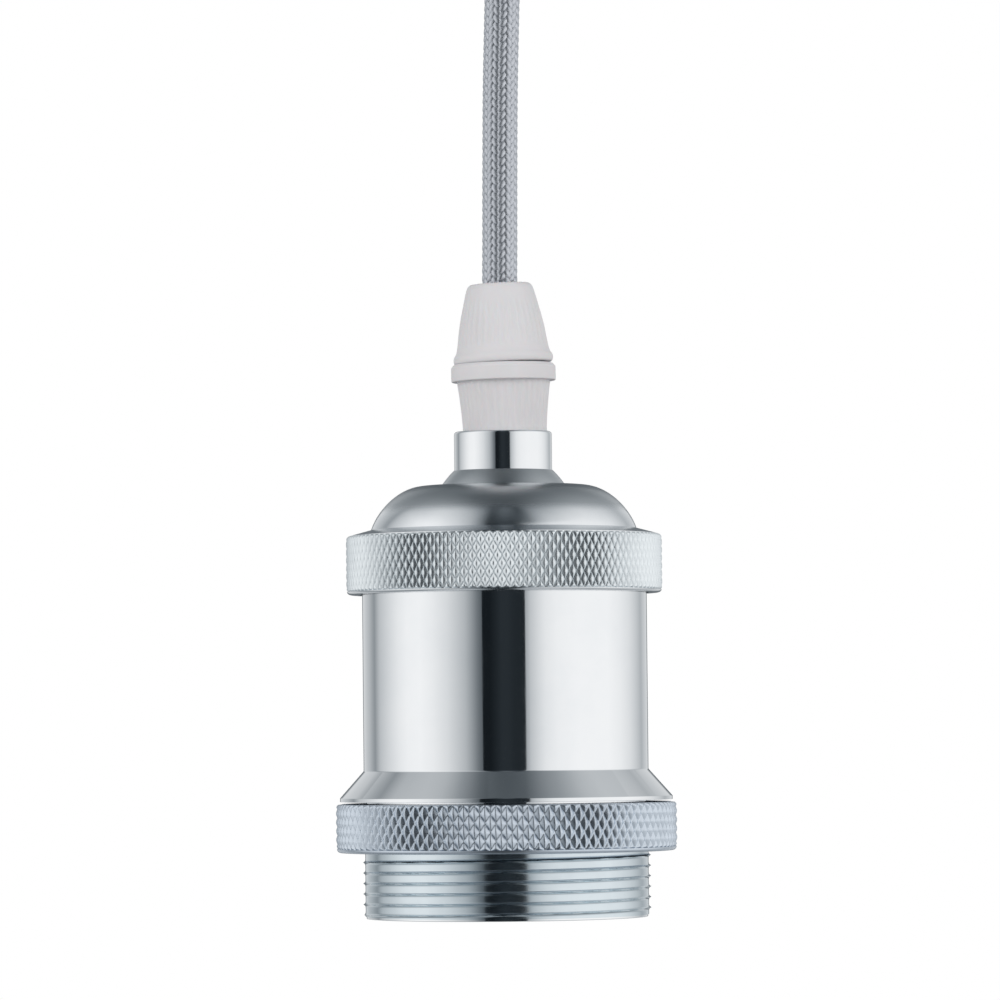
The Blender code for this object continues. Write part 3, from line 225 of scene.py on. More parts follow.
cord_line = smooth_line(CORD_ROUTE, 10)
line_heights = cord_line[:, 2]
yarn_heights = np.arange(line_heights[0] + BRAID_END, line_heights[-1] - BRAID_END,
                         BRAID_LAY / YARNS_EACH_WAY / STEPS_PER_FLOAT * 2)
middle_x = np.interp(yarn_heights, line_heights, cord_line[:, 0])
crossing = 2 * YARNS_EACH_WAY * yarn_heights / BRAID_LAY
lean = math.atan2(2 * math.pi * BRAID_RADIUS, BRAID_LAY)
section_across = np.array((-1.0, -0.55, 0.0, 0.55, 1.0, 0.0))
section_out = np.array((0.0, 0.80, 1.0, 0.80, 0.0, -0.9))
wide = 0.5 * YARN_WIDTH * section_across
thick = 0.5 * YARN_THICKNESS * section_out
points, faces, yarn_uv = [], [], []
for way in (1, -1):
    for yarn in range(YARNS_EACH_WAY):
        phase = crossing + 2 * yarn + RISING_PHASE if way > 0 else 2 * yarn - crossing + FALLING_PHASE
        wave = np.cos(np.pi / 2 * phase)
        radius = BRAID_RADIUS + BRAID_RISE * np.clip(FLOAT_FLATNESS * wave, -1, 1)
        turn = 2 * np.pi * (yarn / YARNS_EACH_WAY + way * yarn_heights / BRAID_LAY)
        out = radius[:, None] + thick
        strand = around(out, turn[:, None] + wide * math.cos(lean) / out,
                        yarn_heights[:, None] - way * wide * math.sin(lean))
        strand[..., 0] += middle_x[:, None]
        faces.append(grid_faces(*strand.shape[:2]) + sum(len(part) for part in points))
        points.append(strand.reshape(-1, 3))
        along_yarn = np.repeat(yarn_heights / math.cos(lean) + YARN_SHIFT_ALONG * yarn, len(wide))
        across_yarn = np.tile(section_across, len(yarn_heights)) + YARN_SHIFT_ACROSS * yarn + way
        yarn_uv.append(np.stack([across_yarn, along_yarn], -1))
cord = add_piece("textile_cord", np.concatenate(points), np.concatenate(faces), braid_material,
                 "textile_braid", replaced=("cord",), sharp=80)
add_uv(cord, "yarn", np.concatenate(yarn_uv))

sheath_material, tree, shader = new_material("dark_sheath", (0.10, 0.105, 0.12), 0.6)
sheath = around(0.5 * CORD_DIAMETER - SHEATH_INSET, even_turns(SHEATH_COLUMNS), line_heights[:, None])
sheath[..., 0] += cord_line[:, :1]
add_piece("cord_core", sheath, grid_faces(len(sheath), SHEATH_COLUMNS), sheath_material, "textile_braid")


# Cap of the holder: neck, shoulder, dome and collar
# Turned from one piece of brass and chromed. It screws down over the body, and its neck takes the grip.
def rounded(corners, step=12):
    """An outline of (radius, height) from corners of (radius, height, rounding)."""
    outline = []
    for index, (radius, height, rounding) in enumerate(corners):
        here = Vector((radius, height))
        if rounding == 0:
            outline.append(tuple(here))
            continue
        to_last = (Vector(corners[index - 1][:2]) - here).normalized()
        to_next = (Vector(corners[(index + 1) % len(corners)][:2]) - here).normalized()
        half = 0.5 * to_last.angle(to_next)
        reach = rounding / math.tan(half)
        middle = here + (to_last + to_next).normalized() * (rounding / math.sin(half))
        from_middle = here + to_last * reach - middle
        sweep = math.pi - 2 * half
        side = math.copysign(1.0, to_last.x * to_next.y - to_last.y * to_next.x)
        pieces = max(2, math.ceil(math.degrees(sweep) / step))
        for piece in range(pieces + 1):
            turn = -side * sweep * piece / pieces
            outline.append((middle.x + from_middle.x * math.cos(turn) - from_middle.y * math.sin(turn),
                            middle.y + from_middle.x * math.sin(turn) + from_middle.y * math.cos(turn)))
    return outline


TURNED_COLUMNS = 192
LONG_PART = 0.001
HOLD_IN = 0.00006


def turned(outline):
    """Points and faces of a ring-shaped body, turned from a closed outline about the Z axis. Long straight
    parts get a point just inside each end, so that they shade flat."""
    held = []
    for here, after in zip(np.array(outline), np.roll(outline, -1, 0)):
        length = np.linalg.norm(after - here)
        held.append(here)
        if length > LONG_PART:
            held += [here + (after - here) * share for share in (HOLD_IN / length, 1 - HOLD_IN / length)]
    outline = np.array(held)
    return (around(outline[:, :1], even_turns(TURNED_COLUMNS), outline[:, 1:]),
            grid_faces(len(outline), TURNED_COLUMNS, close_levels=True))


KNURL_CHAMFER = 0.0003
KNURL_EDGE = 0.0004
GROOVE_SHARPNESS = 9
CREST_LEVEL = 0.955


def knurl(radius, top, foot, diamonds, half_rows, depth, fineness, bulge, shallow=0.0):
    """A knurled band: two families of slanting grooves with a diamond between them, and chamfered edges.
    fineness is the mesh's steps from a groove to the next crest. bulge is 1 for flat-sided diamonds and
    more for rounder ones. shallow raises the floor of one family, as a share of the depth."""
    columns = 2 * diamonds * fineness
    levels = half_rows * fineness
    level, column = np.mgrid[0:levels + 1, 0:columns]
    rising = (column + level) % (2 * fineness)
    falling = (column - level) % (2 * fineness)
    from_rising = np.minimum(rising, 2 * fineness - rising) / fineness
    from_falling = np.minimum(falling, 2 * fineness - falling) / fineness
    near_rising = ((1 - shallow) * (1 - from_rising)) ** GROOVE_SHARPNESS
    near_falling = (1 - from_falling) ** GROOVE_SHARPNESS
    lift = np.minimum(1 - (near_rising + near_falling) ** (bulge / GROOVE_SHARPNESS), CREST_LEVEL)
    from_edge = (top - foot) * np.minimum(level, levels - level) / levels
    out = np.minimum(radius - depth * (1 - lift), radius - np.maximum(0, KNURL_CHAMFER - from_edge))
    turns = even_turns(columns)
    band = around(out, turns, top + (foot - top) * level / levels)
    inner = radius - 1.35 * depth - KNURL_EDGE
    points = np.concatenate([around(inner, turns, top)[None], band, around(inner, turns, foot)[None]])
    faces = grid_faces(levels + 3, columns)
    # Quads crossed by a groove are split along it
    row, at = np.divmod(np.arange(len(faces)), columns)
    on_band = (row >= 1) & (row <= levels)
    line = row - 1
    on_falling = on_band & ((at - line) % (2 * fineness) == 0)
    on_rising = on_band & ((at + 1 + line) % (2 * fineness) == 0)
    keep = faces[~(on_falling | on_rising)].tolist()
    for a, b, c, d in faces[on_falling].tolist():
        keep += [[a, b, c], [a, c, d]]
    for a, b, c, d in faces[on_rising & ~on_falling].tolist():
        keep += [[a, b, d], [b, c, d]]
    return points, keep


# Plating has faint lathe lines under it, and a hand's marks on it
plating_group, start, end = new_group(
    "Plated metal",
    [("Color", "NodeSocketColor", (0.86, 0.88, 0.90, 1)),
     ("Tarnish", "NodeSocketColor", (0.70, 0.73, 0.76, 1)),
     ("Polished", "NodeSocketFloat", 0.05), ("Handled", "NodeSocketFloat", 0.12),
     ("Mark Scale", "NodeSocketFloat", 120.0), ("Line Scale", "NodeSocketFloat", 3000.0)],
    [("Color", "NodeSocketColor"), ("Roughness", "NodeSocketFloat"), ("Height", "NodeSocketFloat")])
place = add_node(plating_group, "ShaderNodeTexCoord")
marks = add_node(plating_group, "ShaderNodeTexNoise", Detail=5.0, Roughness=0.6)
mark_range = add_node(plating_group, "ShaderNodeMapRange", From_Min=0.42, From_Max=0.75)
shade_mix = add_node(plating_group, "ShaderNodeMix", {"data_type": "RGBA"})
gloss = add_node(plating_group, "ShaderNodeMapRange", From_Min=0.40, From_Max=0.72)
split = add_node(plating_group, "ShaderNodeSeparateXYZ")
lines_at = add_node(plating_group, "ShaderNodeMath", {"operation": "MULTIPLY"})
lines_vector = add_node(plating_group, "ShaderNodeCombineXYZ")
lines = add_node(plating_group, "ShaderNodeTexNoise", Scale=1.0, Detail=2.0)
links = plating_group.links
links.new(place.outputs["Object"], marks.inputs["Vector"])
links.new(start.outputs["Mark Scale"], marks.inputs["Scale"])
links.new(marks.outputs["Fac"], mark_range.inputs["Value"])
links.new(mark_range.outputs["Result"], shade_mix.inputs["Factor"])
links.new(start.outputs["Color"], shade_mix.inputs["A"])
links.new(start.outputs["Tarnish"], shade_mix.inputs["B"])
links.new(marks.outputs["Fac"], gloss.inputs["Value"])
links.new(start.outputs["Polished"], gloss.inputs["To Min"])
links.new(start.outputs["Handled"], gloss.inputs["To Max"])
links.new(place.outputs["Object"], split.inputs[0])
links.new(split.outputs["Z"], lines_at.inputs[0])
links.new(start.outputs["Line Scale"], lines_at.inputs[1])
links.new(lines_at.outputs[0], lines_vector.inputs["Z"])
links.new(lines_vector.outputs[0], lines.inputs["Vector"])
links.new(shade_mix.outputs["Result"], end.inputs["Color"])
links.new(gloss.outputs["Result"], end.inputs["Roughness"])
links.new(lines.outputs["Fac"], end.inputs["Height"])


def plated(name, colour, tarnish, polished, handled, line_depth, mark_scale=120.0, line_scale=3000.0,
           shaded_rough_top=None):
    """A plated metal with its own colour, gloss and lathe lines. Its last argument gives two heights, how
    much rougher the metal is above the second, and a deeper grey painted there as shade, with a soft change
    between them."""
    material, tree, shader = new_material(name, colour, polished, 1.0)
    finish = place_group(tree, plating_group, Color=(*colour, 1), Tarnish=(*tarnish, 1), Polished=polished,
                         Handled=handled, Mark_Scale=mark_scale, Line_Scale=line_scale)
    bump = add_node(tree, "ShaderNodeBump", Strength=1.0, Distance=line_depth)
    roughness, skin = finish.outputs["Roughness"], finish.outputs["Color"]
    # Above the upper height the base colour is painted a deeper grey, standing for shade, and the roughness
    # rises
    if shaded_rough_top:
        low, high, rougher, dark = shaded_rough_top
        place = add_node(tree, "ShaderNodeTexCoord")
        split = add_node(tree, "ShaderNodeSeparateXYZ")
        mask = add_node(tree, "ShaderNodeMapRange", {"interpolation_type": "SMOOTHSTEP"},
                        From_Min=low, From_Max=high)
        total = add_node(tree, "ShaderNodeMath", {"operation": "MULTIPLY_ADD"})
        total.inputs[1].default_value = rougher
        painted_shade = add_node(tree, "ShaderNodeMix", {"data_type": "RGBA"}, B=(*dark, 1))
        tree.links.new(place.outputs["Object"], split.inputs[0])
        tree.links.new(split.outputs["Z"], mask.inputs["Value"])
        tree.links.new(mask.outputs["Result"], total.inputs[0])
        tree.links.new(roughness, total.inputs[2])
        tree.links.new(mask.outputs["Result"], painted_shade.inputs["Factor"])
        tree.links.new(skin, painted_shade.inputs["A"])
        roughness, skin = total.outputs[0], painted_shade.outputs["Result"]
    tree.links.new(skin, shader.inputs["Base Color"])
    tree.links.new(roughness, shader.inputs["Roughness"])
    tree.links.new(finish.outputs["Height"], bump.inputs["Height"])
    tree.links.new(bump.outputs["Normal"], shader.inputs["Normal"])
    return material


chrome = plated("polished_chrome", (0.875, 0.89, 0.905), (0.84, 0.86, 0.88), 0.045, 0.085, 0.0000004)
# The dome's upper part gets painted shade: a deeper grey base colour above its second height, and a rougher
# finish
dome_chrome = plated("dome_chrome", (0.86, 0.88, 0.90), (0.80, 0.825, 0.85), 0.13, 0.19, 0.0000006,
                     shaded_rough_top=(-0.1201, -0.1187, 0.17, (0.53, 0.56, 0.58)))
cut_chrome = plated("cut_chrome", (0.83, 0.875, 0.90), (0.74, 0.785, 0.81), 0.30, 0.40, 0.000001)

NECK_TOP = -0.1088
NECK_EDGE = -0.10856
NECK_RADIUS = 0.00674
NECK_FOOT = -0.11393
NECK_ROUNDING = 0.0004
SHOULDER_RADIUS = 0.00859
SHOULDER_FOOT = -0.11603
SHOULDER_SWELL_OUT = 0.12
SHOULDER_SWELL_UP = 0.10
DOME_CREST_RADIUS = 0.0110
DOME_CREST_PULL = 0.45
DOME_RADIUS = 0.01832
DOME_FOOT = -0.12203
DOME_FOOT_PULL = (-0.00096, 0.0029)
COLLAR_RADIUS = 0.0218
COLLAR_TOP = -0.12282
COLLAR_FOOT = -0.13093
COLLAR_LIP = 0.0004
COLLAR_DIAMONDS = 117
COLLAR_HALF_ROWS = 7
COLLAR_KNURL_DEPTH = 0.00028
COLLAR_BED = COLLAR_RADIUS - 0.00055
CAP_WALL = 0.0012
SEAM = 0.0001
BODY_RADIUS = 0.01962
FIT = 0.0003
NECK_BORE = 0.0055
holder_place = Matrix.Translation((HOLDER_X, 0, 0))


def dome_curve(inset, pieces):
    """The dome's curve from its crest to its foot, or that curve moved in by the wall."""
    crest = np.array((DOME_CREST_RADIUS - inset, SHOULDER_FOOT - inset))
    foot = np.array((DOME_RADIUS - inset, DOME_FOOT - inset))
    crest_pull = crest + (DOME_CREST_PULL * (DOME_RADIUS - DOME_CREST_RADIUS), 0)
    foot_pull = foot + DOME_FOOT_PULL
    steps = np.linspace(0, 1, pieces + 1)[:, None]
    rest = 1 - steps
    curve = (rest**3 * crest + 3 * rest**2 * steps * crest_pull + 3 * rest * steps**2 * foot_pull
             + steps**3 * foot)
    return [tuple(point) for point in curve]


neck_edge = rounded([(NECK_BORE, NECK_EDGE, 0), (NECK_RADIUS, NECK_EDGE, NECK_ROUNDING),
                     (NECK_RADIUS, NECK_FOOT, 0)])[1:-1]
outline = [(NECK_BORE, NECK_EDGE)] + neck_edge
outline += [(NECK_RADIUS, NECK_FOOT - SEAM), (NECK_BORE, NECK_FOOT - SEAM)]
add_piece("cap_neck", *turned(outline), chrome, "polished_chrome", placed=holder_place)

shoulder = [(NECK_RADIUS + SEAM
             + (SHOULDER_RADIUS - NECK_RADIUS - SEAM) * (t + SHOULDER_SWELL_OUT * t * (1 - t)),
             NECK_FOOT + (SHOULDER_FOOT - NECK_FOOT) * (t - SHOULDER_SWELL_UP * t * (1 - t)))
            for t in np.linspace(0, 1, 13)]
collar = [(COLLAR_BED, COLLAR_TOP), (COLLAR_BED, COLLAR_FOOT + COLLAR_LIP),
          (COLLAR_RADIUS - 0.0001, COLLAR_FOOT + COLLAR_LIP),
          (COLLAR_RADIUS - 0.00013, COLLAR_FOOT + 0.00028),
          (COLLAR_RADIUS - 0.00030, COLLAR_FOOT + 0.00008), (COLLAR_BED, COLLAR_FOOT),
          (BODY_RADIUS + FIT, COLLAR_FOOT), (BODY_RADIUS + FIT, DOME_FOOT - CAP_WALL)]
outline = ([(NECK_BORE, NECK_FOOT - SEAM / 2), (NECK_RADIUS - 1.5 * SEAM, NECK_FOOT - SEAM / 2)] + shoulder
           + dome_curve(0, 28) + collar + dome_curve(CAP_WALL, 12)[::-1]
           + [(NECK_BORE, SHOULDER_FOOT - CAP_WALL)])
points, faces = turned(outline)
add_piece("cap_dome", points, faces, dome_chrome, "polished_chrome", replaced=("cap",), placed=holder_place)
points, faces = knurl(COLLAR_RADIUS, COLLAR_TOP - SEAM, COLLAR_FOOT + COLLAR_LIP, COLLAR_DIAMONDS,
                      COLLAR_HALF_ROWS, COLLAR_KNURL_DEPTH, fineness=6, bulge=1.65)
add_piece("cap_collar", points, faces, cut_chrome, "polished_chrome", placed=holder_place, sharp=30)


# Body shell: cylinder, cone, rim and threaded sleeve
# Turned brass tube, polished and chromed. The sleeve's outer thread is cut last, and its lower lip is
# turned in to hold the porcelain core.
BODY_TOP = -0.12388
CONE_TOP = -0.15520
CONE_FOOT = -0.15890
RIM_RADIUS = 0.0229
RIM_FOOT = -0.15940
SLEEVE_RADIUS = 0.01984
SLEEVE_FOOT = -0.17548
BODY_BORE = 0.01812
SLEEVE_LIP_WIDTH = 0.0012
SLEEVE_LIP_HEIGHT = 0.0012
THREAD_PITCH = 0.00144
THREAD_DEPTH = 0.00034
THREAD_VALLEY = 5.0
THREAD_ROWS = 300
THREAD_FADE = 0.0004
THREAD_TOP = RIM_FOOT - 0.0004
THREAD_FOOT = SLEEVE_FOOT + 0.0003
THREAD_BED = SLEEVE_RADIUS - THREAD_DEPTH - 0.0002

outline = rounded([(BODY_RADIUS, BODY_TOP, 0), (BODY_RADIUS, CONE_TOP, 0.0003),
                   (RIM_RADIUS, CONE_FOOT, 0.00007), (RIM_RADIUS, RIM_FOOT, 0.00005),
                   (THREAD_BED, RIM_FOOT, 0), (THREAD_BED, SLEEVE_FOOT + 0.0006, 0),
                   (SLEEVE_RADIUS - 0.00045, SLEEVE_FOOT, 0.00010),
                   (BODY_BORE - SLEEVE_LIP_WIDTH, SLEEVE_FOOT, 0.00015),
                   (BODY_BORE - SLEEVE_LIP_WIDTH, SLEEVE_FOOT + SLEEVE_LIP_HEIGHT, 0),
                   (BODY_BORE, SLEEVE_FOOT + SLEEVE_LIP_HEIGHT, 0), (BODY_BORE, BODY_TOP, 0)])
points, faces = turned(outline)
add_piece("body_tube", points, faces, chrome, "polished_chrome", replaced=("body_shell",),
          placed=holder_place)

# The thread's valleys are broad and its crests narrow
thin_chrome = plated("thin_chrome", (0.70, 0.77, 0.81), (0.63, 0.695, 0.735), 0.11, 0.16, 0.0000006)
heights = np.linspace(THREAD_TOP, THREAD_FOOT, THREAD_ROWS)[:, None]
turns = even_turns(TURNED_COLUMNS)
phase = heights / THREAD_PITCH - turns / (2 * np.pi)
crest = np.abs(2 * (phase % 1.0) - 1) ** THREAD_VALLEY
fade = np.clip(np.minimum(THREAD_TOP - heights, heights - THREAD_FOOT) / THREAD_FADE, 0, 1)
band = around(SLEEVE_RADIUS - THREAD_DEPTH * (1 - fade * crest), turns, heights)
top, foot = (around(THREAD_BED - 0.0002, turns, height)[None] for height in (THREAD_TOP, THREAD_FOOT))
add_piece("sleeve_thread", np.concatenate([top, band, foot]), grid_faces(THREAD_ROWS + 2, TURNED_COLUMNS),
          thin_chrome, "polished_chrome", placed=holder_place, sharp=80)


# Shade ring
# A turned ring with a cut knurl and a duller plating. It runs on the sleeve's thread and clamps a shade
# under the rim.
satin_chrome = plated("satin_chrome", (0.64, 0.705, 0.78), (0.545, 0.60, 0.67), 0.27, 0.35, 0.000002)
RING_HEIGHT = 0.00668
RING_TOP = RIM_FOOT - FIT
RING_FOOT = RING_TOP - RING_HEIGHT
RING_RADIUS = 0.0235
RING_LIP_RADIUS = RING_RADIUS - 0.00012
RING_BED = RING_RADIUS - 0.00065 - SEAM
RING_BORE = SLEEVE_RADIUS + FIT
RING_LIP = 0.00055
RING_DIAMONDS = 100
RING_HALF_ROWS = 5
RING_KNURL_DEPTH = 0.00043

outline = rounded([(RING_BORE, RING_TOP, 0.0002), (RING_BED, RING_TOP, 0.0001),
                   (RING_BED, RING_FOOT + RING_LIP, 0), (RING_LIP_RADIUS, RING_FOOT + RING_LIP, 0.00004),
                   (RING_LIP_RADIUS, RING_FOOT, 0.00050), (RING_BORE, RING_FOOT, 0.0002)])
points, faces = turned(outline)
add_piece("ring_body", points, faces, satin_chrome, "knurled_chrome", body="shade_ring",
          replaced=("shade_ring",), placed=holder_place)
points, faces = knurl(RING_RADIUS, RING_TOP - SEAM, RING_FOOT + RING_LIP, RING_DIAMONDS, RING_HALF_ROWS,
                      RING_KNURL_DEPTH, fineness=8, bulge=1.25, shallow=0.12)
add_piece("ring_knurl", points, faces, satin_chrome, "knurled_chrome", body="shade_ring",
          placed=holder_place, sharp=80)


# Cord grips
# White nylon mouldings. The body screws into the neck, and the nut squeezes the body's collet on the
# cord. A second grip of the same kind holds the cord in the canopy.
moulding_group, start, end = new_group(
    "Moulded plastic",
    [("Color", "NodeSocketColor", (0.75, 0.75, 0.75, 1)),
     ("Shaded", "NodeSocketColor", (0.68, 0.68, 0.68, 1)),
     ("Smooth", "NodeSocketFloat", 0.35), ("Rubbed", "NodeSocketFloat", 0.55),
     ("Scale", "NodeSocketFloat", 260.0)],
    [("Color", "NodeSocketColor"), ("Roughness", "NodeSocketFloat"), ("Height", "NodeSocketFloat")])
place = add_node(moulding_group, "ShaderNodeTexCoord")
clouds = add_node(moulding_group, "ShaderNodeTexNoise", Detail=4.0, Roughness=0.55)
grains = add_node(moulding_group, "ShaderNodeTexNoise", Scale=2600.0, Detail=2.0)
tint = add_node(moulding_group, "ShaderNodeMix", {"data_type": "RGBA"})
gloss = add_node(moulding_group, "ShaderNodeMapRange", From_Min=0.35, From_Max=0.68)
both = add_node(moulding_group, "ShaderNodeMath", {"operation": "MULTIPLY_ADD"})
both.inputs[1].default_value = 0.25
links = moulding_group.links
for texture in (clouds, grains):
    links.new(place.outputs["Object"], texture.inputs["Vector"])
links.new(start.outputs["Scale"], clouds.inputs["Scale"])
links.new(clouds.outputs["Fac"], tint.inputs["Factor"])
links.new(start.outputs["Color"], tint.inputs["A"])
links.new(start.outputs["Shaded"], tint.inputs["B"])
links.new(clouds.outputs["Fac"], gloss.inputs["Value"])
links.new(start.outputs["Smooth"], gloss.inputs["To Min"])
links.new(start.outputs["Rubbed"], gloss.inputs["To Max"])
links.new(grains.outputs["Fac"], both.inputs[0])
links.new(clouds.outputs["Fac"], both.inputs[2])
links.new(tint.outputs["Result"], end.inputs["Color"])
links.new(gloss.outputs["Result"], end.inputs["Roughness"])
links.new(both.outputs[0], end.inputs["Height"])


def moulded(name, colour, shaded, smooth, rubbed, grain, scale=260.0):
    """A moulded or fired surface with its own colour, gloss and grain."""
    material, tree, shader = new_material(name, colour, smooth)
    finish = place_group(tree, moulding_group, Color=(*colour, 1), Shaded=(*shaded, 1), Smooth=smooth,
                         Rubbed=rubbed, Scale=scale)
    bump = add_node(tree, "ShaderNodeBump", Strength=1.0, Distance=grain)
    tree.links.new(finish.outputs["Color"], shader.inputs["Base Color"])
    tree.links.new(finish.outputs["Roughness"], shader.inputs["Roughness"])
    tree.links.new(finish.outputs["Height"], bump.inputs["Height"])
    tree.links.new(bump.outputs["Normal"], shader.inputs["Normal"])
    return material


white_nylon = moulded("white_nylon", (0.66, 0.65, 0.665), (0.62, 0.61, 0.625), 0.38, 0.55, 0.00001)
shader = white_nylon.node_tree.nodes["Principled BSDF"]
shader.inputs["Subsurface Weight"].default_value = 0.08
shader.inputs["Subsurface Scale"].default_value = 0.002

GRIP_RIBS = 38
RIB_COLUMNS = 10
GRIP_BORE = 0.0033
SEAT_LIFT = 0.0001
RIB_SHARPNESS = 0.62
STUB_RADIUS = 0.00490
STUB_LENGTH = 0.0134
SKIRT_RADIUS = 0.00578
SKIRT_FLARE = 0.00066
SKIRT_HEIGHT = 0.0071
SKIRT_TOP = SEAT_LIFT + SKIRT_HEIGHT
SKIRT_RIB_DEPTH = 0.000104
FLANGE_RADIUS = 0.00722
FLANGE_EDGE = 0.00915
FLANGE_TOP = 0.0096
COLLET_RADIUS = 0.0044
COLLET_TOP = 0.0148
NUT_LIFT = 0.0103
NUT_SHAPE = [(-0.00062, 0.00662), (-0.0005, 0.00678), (-0.0002, 0.00687), (0.0001, 0.00689),
             (0.0004, 0.00682), (0.0008, 0.00655), (0.0012, 0.00639), (0.0018, 0.00628), (0.0026, 0.00615),
             (0.0042, 0.00592), (0.0051, 0.00574), (0.0059, 0.00558), (0.0067, 0.00538), (0.0076, 0.00516),
             (0.0084, 0.00496), (0.0090, 0.00481), (0.0096, 0.00464), (0.0099, 0.00452), (0.0102, 0.00434),
             (0.01035, 0.00410)]
NUT_FOOT = NUT_SHAPE[0][0]
NUT_TOP = NUT_SHAPE[-1][0]
NUT_RIB_DEPTH = 0.00008
NUT_RIBS_FROM = 0.0016
NUT_RIBS_TO = 0.0082
NUT_INSIDE = [(0.00300, NUT_TOP, 0), (0.00292, 0.0102, 0), (0.0029, 0.0080, 0), (0.0050, 0.0070, 0),
              (0.0050, NUT_FOOT, 0)]
BODY_LEAN = math.radians(-1.0)
NUT_LEAN = math.radians(-2.4)
BODY_SHIFT = 0.00030
NUT_SHIFT = 0.00016
CANOPY_DEPTH = 0.0250


def ribbed(outline):
    """A turned, closed outline of (radius, height, rib depth), with fine upright ribs round it."""
    columns = GRIP_RIBS * RIB_COLUMNS
    turns = even_turns(columns)
    groove = np.clip(0.5 - RIB_SHARPNESS * np.cos(GRIP_RIBS * turns), 0, 1)
    outline = np.array(outline)
    return (around(outline[:, :1] - outline[:, 2:] * groove, turns, outline[:, 1:2]),
            grid_faces(len(outline), columns, close_levels=True))


# The ribs run out softly at both ends of the skirt
skirt = [(SKIRT_RADIUS + SKIRT_FLARE * share**1.5, SEAT_LIFT + SKIRT_HEIGHT * share,
          SKIRT_RIB_DEPTH * min(1.0, 8 * share, 12 * (1.02 - share))) for share in np.linspace(0, 1, 30)]
flange = rounded([(0.00620, SKIRT_TOP, 0), (FLANGE_RADIUS, SKIRT_TOP, 0.00018),
                  (FLANGE_RADIUS, FLANGE_EDGE, 0.00025), (0.00682, FLANGE_TOP, 0.00022),
                  (COLLET_RADIUS, FLANGE_TOP, 0)])[1:]
body_outline = ([(STUB_RADIUS, -STUB_LENGTH, 0), (STUB_RADIUS, SEAT_LIFT, 0)] + skirt
                + [(radius, height, 0) for radius, height in flange]
                + [(COLLET_RADIUS, COLLET_TOP, 0), (GRIP_BORE, COLLET_TOP, 0),
                   (GRIP_BORE, -STUB_LENGTH, 0)])

nut_heights = np.concatenate([np.linspace(NUT_FOOT, 0.0018, 18), np.linspace(0.0021, 0.0088, 26),
                              np.linspace(0.0090, NUT_TOP, 14)])
nut_radii = np.interp(nut_heights, *zip(*NUT_SHAPE))
nut_radii[1:-1] = (nut_radii[:-2] + 2 * nut_radii[1:-1] + nut_radii[2:]) / 4
nut_ribs = (NUT_RIB_DEPTH * np.clip((nut_heights - NUT_RIBS_FROM) / 0.0006, 0, 1)
            * np.clip((NUT_RIBS_TO - nut_heights) / 0.0012, 0, 1))
nut_outline = list(zip(nut_radii, nut_heights, nut_ribs)) + NUT_INSIDE

# The holder's grip sits a little askew, and its nut a little more
canopy_seat = Matrix.Translation((0, 0, -CANOPY_DEPTH)) @ Matrix.Rotation(math.pi, 4, "X")
canopy_nut_seat = canopy_seat @ Matrix.Translation((0, 0, NUT_LIFT))
holder_seat = Matrix.Translation((HOLDER_X, 0, NECK_TOP))
holder_body_seat = (holder_seat @ Matrix.Translation((BODY_SHIFT, 0, 0))
                    @ Matrix.Rotation(BODY_LEAN, 4, "Y"))
holder_nut_seat = (holder_seat @ Matrix.Translation((NUT_SHIFT, 0, NUT_LIFT))
                   @ Matrix.Rotation(NUT_LEAN, 4, "Y"))
for side, body_seat, nut_seat in (("holder", holder_body_seat, holder_nut_seat),
                                  ("canopy", canopy_seat, canopy_nut_seat)):
    points, faces = ribbed(body_outline)
    add_piece(side + "_grip_moulding", points, faces, white_nylon, "white_plastic",
              replaced=(side + "_grip_body",), placed=body_seat)
    points, faces = ribbed(nut_outline)
    add_piece(side + "_nut_moulding", points, faces, white_nylon, "white_plastic",
              replaced=(side + "_grip_nut",), placed=nut_seat, sharp=50)


# Socket core, screw shell and contacts
# The porcelain core is pressed and glazed. The shell is thin nickelled sheet, rolled to the bulb's thread
# and riveted to the core, and a springy brass tongue meets the bulb's tip.
porcelain = moulded("glazed_porcelain", (0.84, 0.83, 0.79), (0.78, 0.765, 0.72), 0.10, 0.22, 0.000006, 90.0)
porcelain.node_tree.nodes["Principled BSDF"].inputs["Coat Weight"].default_value = 0.6
nickel = plated("nickelled_sheet", (0.74, 0.72, 0.67), (0.60, 0.57, 0.51), 0.20, 0.36, 0.000001)
brass = plated("bright_brass", (0.80, 0.61, 0.29), (0.62, 0.43, 0.18), 0.20, 0.38, 0.000002)
zinc = plated("zinc_plated_steel", (0.62, 0.64, 0.67), (0.50, 0.52, 0.55), 0.30, 0.48, 0.000003,
              mark_scale=300.0, line_scale=900.0)


def dress(material, *names):
    """Give solids that stay as they are their material."""
    for name in names:
        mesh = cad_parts[name].data
        mesh.materials.clear()
        mesh.materials.append(material)


dress(porcelain, "socket_core")
dress(brass, "centre_contact", "shell_rivet", "live_terminal", "neutral_terminal", "earth_screw",
      "block_screw_live", "block_screw_earth", "block_screw_neutral")
dress(zinc, "bridge_strap", "holder_locknut", "canopy_locknut", "ceiling_bracket", "core_screw_left",
      "core_screw_right", "live_terminal_screw", "neutral_terminal_screw")

SHELL_FOOT = -0.16898
SHELL_HEIGHT = 0.0175
SHELL_TOP = SHELL_FOOT + SHELL_HEIGHT
SHELL_CREST = 0.01335
SHELL_THREAD_DEPTH = 0.0011
SHELL_THREAD_PITCH = 0.003629
SHELL_WALL = 0.0004
SHELL_FLANGE_RADIUS = 0.0092
SHELL_COLUMNS = 120
SHELL_ROWS = 90

